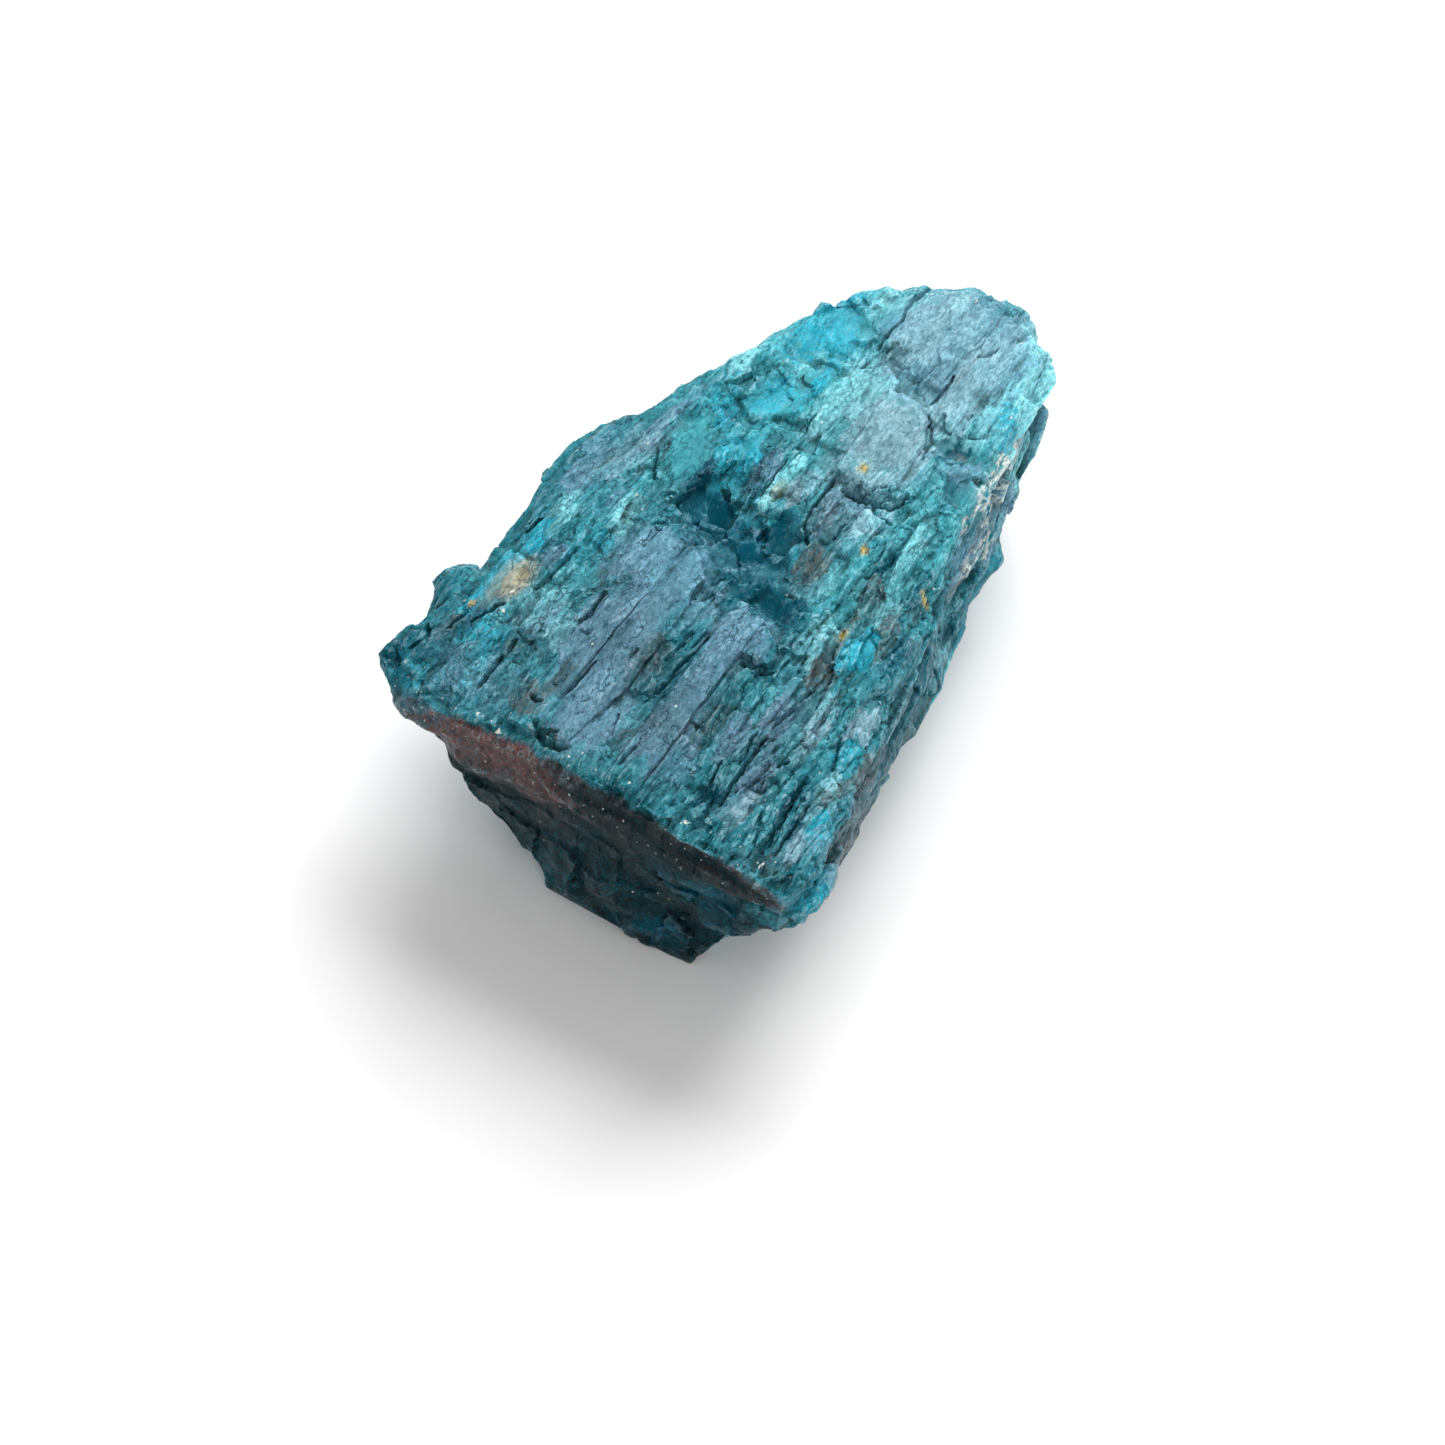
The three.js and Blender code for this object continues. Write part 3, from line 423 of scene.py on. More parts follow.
def granular_share(plan, facing):
    ragged = 0.35 * fractal(plan * (0.7, 0.5, 0.7), 4, 5)
    found = np.zeros(len(plan), np.float32)
    for place in GRANULAR:
        near = reach(plan[:, 0], plan[:, 1], *place) + ragged
        found = np.maximum(found, 1 - ramp(near, 0.8, 1.1))
    found *= top_share(plan)
    end = end_share(plan, facing)
    band = 8.4 + 0.12 * plan[:, 0]
    found = np.maximum(found, end * (1 - ramp(plan[:, 2], band - 0.6, band + 0.6)))
    flank = (1 - top_share(plan)) * (1 - end)
    return np.maximum(found, flank * ramp(fractal(plan * (0.16, 0.09, 0.2), 3, 6), 0.02, 0.12))


def fibre_grid(plan):
    """Coordinates across, along and through the striations, which close up towards the tip."""
    x, y, z = plan.T
    right = ramp(x, 5.0, 12.0)
    left = ramp(-x, 2.0, 9.0)
    across = x + 0.13 * np.maximum(0, y + 10) * right - 0.10 * np.maximum(0, y + 4) * left
    wander = 0.35 * noise(plan * (0.25, 0.12, 0.25), 3) + 0.12 * noise(plan * (0.9, 0.35, 0.9), 4)
    return np.stack([across + wander, y, z + 0.5 * wander], 1)


# The blocks that the face split into: size across, along and through the fibres, and a number of their own.
LARGE_BLOCK = (1.7, 5.2, 5.0, 51)
SMALL_BLOCK = (0.75, 2.1, 3.0, 52)
STRIP = (0.85, 6.5, 5.0, 53)

# The grains of the broken places, coarse and fine: size in each direction, then step, lean and groove.
SMALL_GRAINS = (((1.9, 2.3, 1.9), 0.16, 0.34, 0.05), ((0.8, 1.0, 0.8), 0.05, 0.13, 0.02))
LARGE_GRAINS = (((2.8, 3.4, 2.5), 0.20, 0.5, 0.05), ((1.1, 1.4, 1.0), 0.05, 0.16, 0.02))


def split_blocks(plan, block):
    bends = [fractal(plan * 0.8, 3, seed) for seed in (56, 57, 58)]
    warp = 0.22 * np.stack([bends[0], 2 * bends[1], bends[2]], 1)
    return blocks((fibre_grid(plan) + warp) / block[:3], block[3])


def terraces(value, foot):
    """A smooth value turned into level treads with steep risers, and a groove at each riser's foot."""
    level = np.floor(value)
    part = value - level
    return level + ramp(part, 0.0, 0.1) - foot * ramp(part, 0.86, 1.0)


# The ways that the faces of a blunt crystal look.
FACINGS = (
    (0.94, 0.20, 0.28),
    (-0.60, 0.75, 0.28),
    (-0.75, -0.60, 0.28),
    (0.35, -0.90, 0.25),
    (0.1, 0.3, 0.95),
    (0.2, -0.3, -0.93),
)


def facets(p, seed):
    """Blunt crystals set close together: the gap to the nearest one, measured by flat faces."""
    nearest = np.full(len(p), 9.0, np.float32)
    for h, (ox, oy, oz) in middles_near(p, 0, seed):
        tilt = share(h, 3) * 2 - 1
        ox, oy = ox + 0.5 * tilt * oy, oy - 0.5 * tilt * ox
        gap = np.max([ox * a + oy * b + oz * c for a, b, c in FACINGS], 0)
        gap = gap * (0.7 + 0.5 * share(h, 4)) + 0.3 * share(h, 5)
        nearest = np.minimum(nearest, gap)
    return -nearest


def grains(folded, steps, seed):
    """The height of a face that broke into grains, with smaller grains on them."""
    coarse, fine = steps
    height = split(blocks(folded / coarse[0], seed), *coarse[1:])
    return height + split(blocks(folded / fine[0], seed + 1), *fine[1:])


def relief(plan, facing):
    """How far each point of the surface moves along its normal, and how far its broad faces do."""
    grid = fibre_grid(plan)
    grain = granular_share(plan, facing)
    end = end_share(plan, facing)
    upper = top_share(plan)
    seams = ramp(fractal(grid * (0.5, 0.2, 0.5), 3, 61), -0.15, 0.3)
    calm = 0.35 + 0.65 * ramp(fractal(grid * (0.35, 0.12, 0.35), 3, 62), -0.2, 0.25)
    smooth = np.zeros(len(plan), np.float32)
    for place in SLABS:
        smooth = np.maximum(smooth, 1 - ramp(reach(plan[:, 0], plan[:, 1], *place), 0.7, 1.15))
    calm *= 1 - 0.55 * smooth * upper
    # cleavage steps of three sizes, and fine ridges
    slabs = fractal(grid * (0.30, 0.075, 0.30), 5, 11, 0.52)
    moved = 0.10 * terraces(slabs * 6, 0.45 * seams) * (1 - 0.4 * smooth * upper)
    plates = fractal(grid * (0.8, 0.2, 0.8), 4, 12, 0.52)
    moved += 0.05 * terraces(plates * 6, 0.9 * seams) * calm
    scales = fractal(grid * (1.8, 0.55, 1.8), 3, 13, 0.5)
    moved += 0.022 * terraces(scales * 4, 0.6) * calm * (0.4 + 0.6 * upper)
    moved += 0.008 * noise(grid / (0.3, 1.4, 0.3), 21)
    # blocks that split along the fibres, and long strips on the right of the upper face
    whole = 1 - 0.75 * smooth * upper
    moved += whole * split(split_blocks(plan, LARGE_BLOCK), 0.10, 0.16, 0.06)
    moved += (0.3 + 0.7 * whole) * split(split_blocks(plan, SMALL_BLOCK), 0.05, 0.07, 0.035)
    below_tip = ramp(plan[:, 1], 8.0, 16.0) * (1 - upper)
    moved *= (1 - 0.9 * grain) * (0.65 + 0.35 * upper) * (1 - 0.4 * below_tip)
    strips = upper * ramp(plan[:, 0], 6.5, 8.5) * ramp(-plan[:, 1], -6.0, -1.0)
    moved += strips * split(split_blocks(plan, STRIP), 0.16, 0.14, 0.12)
    band = end * ramp(plan[:, 2], 7.8, 9.0)
    moved *= 1 - 0.55 * band
    # grains, small on the upper face and large elsewhere
    broken = np.flatnonzero(grain > 0.01)
    folded = plan[broken] + 0.3 * fractal(plan[broken] * 0.8, 2, 54)[:, None]
    small = grains(folded, SMALL_GRAINS, 31)
    large = grains(folded, LARGE_GRAINS, 33) * (1 - 0.35 * end[broken])
    moved[broken] += grain[broken] * (small * upper[broken] + large * (1 - upper[broken]))
    # broad flat faces on the flanks
    side = np.flatnonzero(upper < 0.99)
    folded = plan[side] + 0.5 * fractal(plan[side] * 0.35, 2, 55)[:, None]
    broad = np.zeros(len(plan), np.float32)
    broad[side] = (1 - upper[side]) * (1.3 * np.maximum(facets(folded / (4.6, 9.0, 4.2), 35), -0.7) + 0.4)
    return moved + 0.06 * fractal(plan / 3.4, 2, 41) + 0.008 * fractal(plan / 0.5, 2, 45, 0.7), broad


def distance_to_line(x, y, points):
    best = np.full(len(x), 99.0, np.float32)
    for (ax, ay), (bx, by) in zip(points[:-1], points[1:]):
        ux, uy = bx - ax, by - ay
        t = np.clip(((x - ax) * ux + (y - ay) * uy) / (ux * ux + uy * uy), 0, 1)
        best = np.minimum(best, np.hypot(x - ax - t * ux, y - ay - t * uy))
    return best


def carving(plan):
    """How far the cracks, ripples and dents of the upper face lower each point."""
    wobble = 0.16 * np.stack([fractal(plan * 1.4, 3, 81), fractal(plan * 1.4, 3, 82)], 1)
    x, y = plan[:, 0] + wobble[:, 0], plan[:, 1] + 1.5 * wobble[:, 1]
    depth = np.zeros(len(plan), np.float32)
    for points, width, deep in CRACKS:
        near = distance_to_line(x, y, points)
        depth = np.maximum(depth, deep * (1 - ramp(near, 0.25 * width, 0.9 * width)))
    for centre, half, deep, *turn in DENTS:
        depth += deep * (1 - ramp(reach(x, y, centre, half, *turn), 0.45, 1.15))
    for centre, far, pitch, height in RIPPLES:
        radius = np.hypot(x - centre[0], y - centre[1])
        depth += height * np.cos(radius * math.tau / pitch) * (1 - ramp(radius, 0.5 * far, far))
    return depth * top_share(plan)


def grown(heights, cells, pick):
    """Each cell of a grid takes its neighbours' highest or lowest value, one axis after the other."""
    for axis, far in enumerate(cells):
        shifted = [np.roll(heights, shift, axis) for shift in range(-far, far + 1)]
        heights = pick(shifted, 0)
    return heights


def blurred(heights, known, cells):
    """A grid's heights averaged over a wide window, counting only the cells that hold the stone."""
    total, count = heights * known, known.astype(np.float64)
    for _ in range(3):
        for axis in (0, 1):
            total = np.mean([np.roll(total, shift, axis) for shift in range(-cells, cells + 1)], 0)
            count = np.mean([np.roll(count, shift, axis) for shift in range(-cells, cells + 1)], 0)
    return total / np.maximum(count, 1e-6)


def upper_face_grid(solid):
    """The solid's height seen from above, and the height its upper face is to have, on one grid."""
    points = [vertex.co for vertex in solid.vertices]
    lookup = BVHTree.FromPolygons(points, [tuple(face.vertices) for face in solid.polygons])
    columns, rows = (int(size / GRID_STEP) for size in GRID_SIZE)
    heights = np.zeros((columns, rows))
    down = Vector((0, 0, -1))
    for column, row in product(range(columns), range(rows)):
        above = Vector((GRID_CORNER[0] + column * GRID_STEP, GRID_CORNER[1] + row * GRID_STEP, SKY))
        hit = lookup.ray_cast(above, down)[0]
        heights[column, row] = hit.z if hit else 0.0
    filled = grown(grown(heights, GAP_CELLS, np.max), GAP_CELLS, np.min)
    filled = heights + GAP_FILLED * (filled - heights)
    stands_out = np.clip(filled - blurred(filled, heights > 9.0, STEP_CELLS), -0.7, 0.7)
    inside = blurred(grown(heights > 9.5, (5, 5), np.min).astype(np.float64), np.ones_like(heights), 1)
    return heights, filled - (1 - STEPS_KEPT) * stands_out * inside


def read_grid(values, places):
    """The grid's value at each place, from the four cells around it."""
    at = (places[:, :2] - GRID_CORNER) / GRID_STEP
    cell = np.floor(at).astype(np.int64)
    u, v = (at - cell).T
    i, j = cell.T
    low = values[i, j] * (1 - u) + values[i + 1, j] * u
    high = values[i, j + 1] * (1 - u) + values[i + 1, j + 1] * u
    return low * (1 - v) + high * v


def steps_lowered(places, heights, target):
    """How far each point of the upper face rises, so that steps are lower and grooves shallower there."""
    hidden = read_grid(heights, places) - places[:, 2]
    rise = read_grid(target - heights, places)
    room = np.maximum(read_grid(target, places) - places[:, 2], 0)
    return np.minimum(rise, room) * top_share(places) * (1 - ramp(hidden, 0.3, 0.9))


def raggedness(places):
    """How far the slabs' edges wander: less towards the tip and near the wide end."""
    wander = [
        0.18 * fractal(places * (1.0, 0.4, 1.0), 4, 71, 0.55),
        0.36 * fractal(places * (1.0, 0.5, 1.0), 4, 72, 0.55),
        0.08 * fractal(places * (0.6, 0.40, 0.6), 3, 73),
    ]
    calmer = 1 - 0.6 * ramp(places[:, 1:2], 6.0, 14.0) - 0.5 * ramp(-places[:, 1:2], 18.5, 20.5)
    return np.stack(wander, 1), calmer


def flatten_glassy_faces(places):
    """Each glassy face drawn towards a plane of its own, at the mean height of the surface there."""
    for corners, slope, glassiness in GLASSY:
        plan = places - PLAN_ZERO
        inside = glassy_share(plan, corners)
        x, y = np.mean(corners, 0)
        tilted = slope[0] * (plan[:, 0] - x) + slope[1] * (plan[:, 1] - y)
        level = np.sum(inside * places[:, 2]) / np.sum(inside)
        places[:, 2] += inside * (0.65 + 0.3 * glassiness) * np.clip(level + tilted - places[:, 2], -0.6, 0.6)


def thin_out(piece, places):
    """Fewer and larger triangles on the flanks and underneath."""
    coarse = piece.vertex_groups.new(name="coarse")
    seen = np.maximum(top_share(places), 0.7 * ramp(-places[:, 1], 19.5, 21.0))
    for level in range(5):  # from the least seen to the most
        chosen = np.flatnonzero(np.round(seen * 4) == level)
        coarse.add(chosen.tolist(), 1 - 0.2 * level, "REPLACE")
    triangles = sum(len(face.vertices) - 2 for face in piece.data.polygons)
    apply_modifier(
        piece,
        "DECIMATE",
        decimate_type="COLLAPSE",
        ratio=MOST_TRIANGLES / triangles,
        vertex_group="coarse",
        vertex_group_factor=COARSER,
    )
    piece.vertex_groups.clear()


# ---------------------------------------------------------------- the stone
stone = copy_of_solid()
heights, target = upper_face_grid(stone.data)
apply_modifier(stone, "WELD", merge_threshold=0.001)
mesh = stone.data
places, edges = vertex_array(mesh), edge_array(mesh)
write_vertices(mesh, rounded_off(pits_filled(places, edges), edges))
apply_modifier(stone, "REMESH", mode="VOXEL", voxel_size=VOXEL)

mesh = stone.data
places, edges = vertex_array(mesh), edge_array(mesh)
free = ramp(places[:, 2], 0.0, 1.2)[:, None]  # the face that the stone lies on keeps its shape
places = places + (smoothed(places, edges, 1) - places) * free
for _ in range(2):
    places = places + (blunted(mesh, places, edges, THIN_ROUNDS) - places) * free
places[:, 2] += steps_lowered(places, heights, target)
ragged, calmer = raggedness(places)
write_vertices(mesh, places + ragged * free * calmer)

places = vertex_array(mesh)
normals = normal_array(mesh)
around = smoothed(normals, edges, RIM_ROUNDS)
facing = smoothed(around, edges, FACING_ROUNDS)
facing /= np.linalg.norm(facing, axis=1)[:, None]
moved, broad = relief(places - PLAN_ZERO, facing)
resting = 1 - ramp(places[:, 2], 0.0, BED)
# along its rims the stone keeps more of the solid's line
moved *= 0.25 + 0.75 * ramp(np.linalg.norm(around, axis=1), 0.76, 0.95)
around = smoothed(around, edges, BROAD_ROUNDS)
moved += broad * ramp(np.linalg.norm(around, axis=1), 0.62, 0.9)
places += normals * (moved * (1 - resting))[:, None]
places[:, 2] -= carving(places - PLAN_ZERO)
flatten_glassy_faces(places)
places = blunted(mesh, places, edges, LAST_THIN_ROUNDS)
places[:, 2] = np.maximum(places[:, 2], 0)
write_vertices(mesh, places)
thin_out(stone, places)
mesh.shade_smooth()
mesh.set_sharp_from_angle(angle=math.radians(SHARP))


# ---------------------------------------------------------------- where the colours lie
# On the upper face: pigment, (x, y), (half width, half length), strength and, where it leans, turn.
# Slate and frost on the slabs are the stone's grey-blue skin and also a painted sheen, the paler grey-blue
# that smooth faces reflect.
ON_TOP = (
    # lighter ground
    ("sea", (2.5, 13.5), (9.5, 11.5), 1.0),
    ("sea", (-5.5, 1.5), (3.2, 6.5), 0.5),
    ("sea", (9.5, 2.0), (3.4, 8.5), 0.8, 0.15),
    ("sea", (-7.0, -11.0), (3.8, 6.0), 0.4),
    ("sea", (11.5, -14.0), (5.0, 8.0), 0.45),
    ("sea", (1.0, -18.0), (9.0, 3.0), 0.5),
    # tip
    ("slate_and_sheen", (4.2, 16.8), (4.2, 5.4), 0.9),
    ("frost_and_sheen", (2.4, 17.8), (2.4, 3.6), 0.75),
    ("frost_and_sheen", (5.9, 16.2), (1.7, 4.4), 0.7),
    ("frost_and_sheen", (6.4, 12.6), (1.4, 1.5), 0.9),
    ("aqua", (8.4, 17.0), (2.3, 4.2), 4.0, 0.25),
    ("aqua", (6.3, 20.4), (0.9, 0.6), 0.7),
    ("aqua", (7.4, 11.3), (1.5, 0.7), 0.8),
    ("cyan", (9.5, 13.8), (0.7, 1.8), 0.7, 0.15),
    ("rust", (5.5, 15.0), (0.54, 1.8), 0.3),
    ("umber", (1.4, 14.5), (1.0, 0.5), 0.6),
    ("umber", (7.5, 14.6), (0.5, 0.9), 0.6),
    ("aqua", (-0.9, 17.4), (0.9, 1.6), 0.9, -0.4),
    ("cyan", (-3.2, 14.2), (1.5, 3.6), 1.0),
    ("aqua", (-2.6, 16.4), (0.9, 1.0), 0.6),
    ("deep", (-0.5, 14.6), (0.6, 0.5), 0.55, 0.3),
    ("cyan", (-1.2, 13.4), (0.9, 1.2), 0.9),
    ("deep", (-1.9, 12.4), (0.3, 1.4), 0.5, 0.3),
    ("cyan", (-1.1, 10.0), (0.5, 1.6), 0.9, 0.2),
    ("deep", (-0.9, 8.9), (0.4, 0.7), 0.6),
    ("aqua", (-3.1, 11.2), (1.2, 1.2), 0.6),
    ("cyan", (-2.6, 7.9), (1.5, 1.2), 0.9),
    ("aqua", (-2.6, 7.9), (1.2, 1.1), 0.35),
    ("aqua", (-5.9, 9.0), (0.7, 1.3), 0.7),
    ("deep", (-4.7, 7.8), (0.6, 0.8), 0.5),
    ("cyan", (-4.7, 5.5), (1.2, 1.1), 1.0),
    # pale streaks below the tip and the plateau
    ("aqua", (1.6, 12.7), (2.4, 1.5), 1.5),
    ("aqua", (2.1, 10.6), (1.5, 2.1), 2.2),
    ("aqua", (0.7, 8.6), (0.9, 2.6), 0.8),
    ("frost_and_sheen", (4.9, 8.3), (2.6, 4.1), 1.0),
    ("rust", (4.7, 8.9), (2.6, 3.5), 0.21, 0.2),
    ("rust", (2.7, 8.0), (1.1, 0.81), 0.3),
    ("umber", (3.0, 4.7), (1.2, 0.6), 0.4),
    ("deep", (8.2, 10.3), (0.9, 0.7), 1.0, 0.4),
    ("deep", (9.9, 8.0), (0.9, 1.1), 0.65),
    ("slate_and_sheen", (9.2, 9.2), (1.3, 0.8), 0.6, 0.4),
    # strips between the hollow and the plateau
    ("aqua", (0.9, 2.7), (0.5, 2.3), 1.0),
    ("slate_and_sheen", (-0.2, 3.0), (0.5, 2.2), 0.8),
    ("rust", (-0.7, 4.6), (0.41, 0.68), 0.45),
    ("frost_and_sheen", (2.3, 3.1), (0.7, 1.8), 0.6),
    ("rust", (2.2, 2.1), (0.81, 0.68), 0.34),
    ("slate_and_sheen", (4.5, 2.7), (1.0, 1.9), 0.9),
    ("rust", (4.8, 1.9), (1.1, 1.4), 0.34),
    ("frost_and_sheen", (6.7, 2.6), (1.0, 1.8), 0.9),
    ("slate_and_sheen", (6.0, 3.3), (0.7, 0.9), 0.9, 0.3),
    # the hollow
    ("cyan", (-1.5, 3.3), (0.5, 1.9), 1.0),
    ("cyan", (-2.6, 2.4), (0.8, 1.6), 0.6),
    ("sea", (-5.4, 2.2), (2.0, 3.2), 0.9, 0.2),
    ("deep", (-1.9, -0.8), (2.1, 1.5), 2.0, -0.5),
    ("deep", (-3.0, -1.9), (0.7, 0.8), 0.8),
    ("deep", (2.9, -0.5), (1.9, 1.1), 1.6, 0.3),
    ("deep", (2.1, -2.3), (1.6, 1.0), 1.6, -0.2),
    ("deep", (0.9, -1.6), (1.4, 0.9), 1.2),
    ("deep", (1.6, -2.9), (3.6, 2.6), 0.6, -0.3),
    ("deep", (4.8, -4.8), (2.3, 0.9), 1.8, -0.1),
    ("deep", (3.0, -5.0), (0.9, 0.8), 1.2),
    ("slate_and_sheen", (3.3, -3.3), (1.2, 0.6), 0.8),
    ("rust", (5.7, -1.9), (0.94, 1.6), 0.6),
    ("aqua", (7.0, -1.9), (0.8, 1.3), 0.5),
    ("slate_and_sheen", (2.6, -6.5), (0.45, 0.8), 0.9),
    # the left shoulder
    ("slate_and_sheen", (-7.3, 1.8), (0.5, 4.2), 1.0, -0.15),
    ("slate_and_sheen", (-9.4, -0.4), (1.3, 1.4), 0.8, -0.3),
    ("slate_and_sheen", (-9.3, -3.1), (1.1, 1.9), 0.8),
    ("frost_and_sheen", (-7.8, -0.4), (1.3, 2.4), 0.45, -0.2),
    ("umber", (-5.6, -0.2), (0.35, 1.6), 0.6, 0.3),
    ("slate_and_sheen", (-6.6, -3.8), (0.4, 2.0), 0.9),
    ("aqua", (-5.3, -4.4), (0.9, 2.0), 0.8),
    ("cyan", (-5.5, -6.4), (0.5, 0.9), 0.8),
    ("aqua", (-8.2, -5.8), (0.9, 1.4), 0.7),
    ("cyan", (-8.7, -8.6), (0.6, 1.5), 1.0),
    ("slate_and_sheen", (-7.3, -8.8), (0.7, 1.3), 0.8),
    ("deep", (-5.9, -8.4), (0.5, 0.9), 0.6),
    ("cyan", (-9.5, -12.6), (0.6, 2.6), 1.0, 0.05),
    ("aqua", (-5.6, -12.2), (1.3, 2.3), 0.55),
    ("slate_and_sheen", (-5.0, -13.4), (1.0, 1.4), 0.6),
    ("cyan", (-8.0, -15.2), (1.0, 1.2), 0.7),
    ("deep", (-8.6, -14.8), (0.3, 1.3), 0.7, -0.3),
    ("cyan", (-6.6, -17.2), (0.6, 2.4), 0.5, 0.05),
    ("aqua", (-6.3, -18.4), (0.4, 1.3), 0.7),
    ("cyan", (-9.8, -20.0), (1.4, 1.0), 0.5, 0.2),
    ("umber", (-9.6, -16.4), (0.5, 0.8), 0.6),
    ("slate_and_sheen", (-8.6, -17.6), (0.9, 1.0), 0.4),
    ("umber", (-6.2, -13.4), (0.3, 0.9), 0.5),
    ("umber", (-5.2, -15.0), (0.9, 0.8), 0.7),
    ("deep", (-3.7, -17.1), (0.5, 1.1), 0.6),
    ("slate_and_sheen", (-6.4, -18.6), (3.4, 1.8), 0.5),
    ("deep", (-11.8, -18.6), (1.8, 1.9), 0.7),
    ("deep", (-9.6, -17.8), (1.3, 1.5), 0.5),
    # the first large slab
    ("slate_and_sheen", (-1.4, -6.4), (3.0, 3.4), 1.0),
    ("slate_and_sheen", (-0.9, -12.0), (2.4, 5.0), 1.0),
    ("slate_and_sheen", (1.0, -17.2), (2.3, 2.6), 1.0),
    ("aqua", (0.2, -10.2), (0.6, 1.6), 0.5),
    ("aqua", (0.6, -15.8), (0.7, 1.4), 0.6),
    ("aqua", (-3.9, -13.6), (0.8, 1.5), 0.6),
    ("umber", (-3.9, -8.6), (0.7, 1.1), 0.6),
    ("umber", (-1.5, -16.0), (0.5, 1.2), 0.6),
    ("rust", (-2.6, -18.1), (1.2, 1.2), 0.45),
    ("umber", (-0.6, -20.0), (1.3, 0.6), 0.7, -0.3),
    ("rust", (1.7, -12.6), (1.2, 1.6), 0.22, 0.2),
    ("umber", (1.9, -12.2), (0.9, 1.6), 0.6, 0.2),
    ("umber", (-0.5, -12.3), (0.3, 1.6), 0.5),
    # the second large slab
    ("slate_and_sheen", (5.2, -8.2), (1.9, 1.9), 1.0),
    ("slate_and_sheen", (4.95, -13.2), (1.0, 4.2), 1.0),
    ("slate_and_sheen", (5.2, -17.4), (1.1, 2.0), 1.0),
    ("umber", (6.4, -10.2), (0.8, 0.7), 0.5),
    ("umber", (6.9, -13.4), (1.0, 2.3), 0.6),
    ("umber", (3.6, -17.8), (0.5, 1.3), 0.7),
    ("umber", (6.4, -16.6), (0.3, 0.8), 0.6),
    ("umber", (5.0, -15.4), (1.3, 2.4), 0.4),
    ("slate_and_sheen", (6.3, -16.9), (1.4, 2.4), 1.2),
    ("cyan", (7.0, -18.0), (0.9, 1.6), 0.25, 0.2),
    ("aqua", (6.8, -15.9), (0.8, 0.9), 0.6),
    ("slate_and_sheen", (1.8, -8.6), (1.2, 1.0), 0.5),
    # strips towards the right edge
    ("aqua", (8.7, -5.6), (0.7, 2.1), 0.6, 0.15),
    ("rust", (9.6, -2.2), (0.68, 3.5), 0.52, 0.15),
    ("rust", (10.0, -6.4), (0.61, 3), 0.6, 0.2),
    ("cyan", (11.4, -5.2), (0.9, 1.7), 0.9, 0.15),
    ("aqua", (10.9, -1.8), (0.4, 1.6), 0.8, 0.15),
    ("aqua", (9.9, 2.8), (0.5, 2.6), 0.7, 0.15),
    ("deep", (9.2, 1.2), (0.35, 0.5), 0.9),
    ("deep", (11.8, -0.8), (0.35, 2.4), 0.8, 0.15),
    ("rust", (11.9, -3.2), (0.41, 2.2), 0.52, 0.2),
    ("deep", (12.9, -3.8), (0.5, 1.3), 0.6, 0.1),
    ("slate_and_sheen", (9.5, -10.4), (0.35, 2.6), 1.0, 0.05),
    ("aqua", (11.4, -9.2), (0.4, 1.1), 0.7),
    ("frost_and_sheen", (12.2, -11.4), (0.5, 2.6), 0.6, 0.1),
    ("slate_and_sheen", (10.6, -12.0), (0.5, 2.6), 0.7),
    ("slate_and_sheen", (11.0, -15.6), (0.6, 2.6), 0.9),
    ("frost_and_sheen", (11.3, -18.2), (0.7, 1.3), 0.6, -0.3),
    ("slate_and_sheen", (8.6, -14.2), (0.9, 1.6), 0.8),
    ("aqua", (9.7, -17.2), (0.4, 0.9), 0.6),
    ("deep", (9.2, -18.3), (1.3, 0.6), 0.8),
    ("frost_and_sheen", (14.3, -9.8), (0.7, 1.6), 0.9, 0.1),
    ("cyan", (14.3, -11.8), (0.6, 1.0), 0.6, 0.1),
    ("rust", (13.5, -8.5), (0.41, 0.94), 0.6),
    ("aqua", (14.8, -14.4), (0.35, 1.9), 0.9),
    ("cyan", (15.5, -16.4), (0.7, 1.4), 0.7),
    ("frost_and_sheen", (15.4, -17.4), (0.9, 1.8), 1.2),
    ("deep", (13.6, -16.9), (0.35, 2.9), 0.8),
    ("deep", (14.55, -17.2), (0.25, 2.6), 0.8),
    ("rust", (15.4, -12.2), (0.47, 4.3), 0.6, -0.1),
    ("umber", (14.6, -20.2), (1.6, 0.8), 0.7),
)

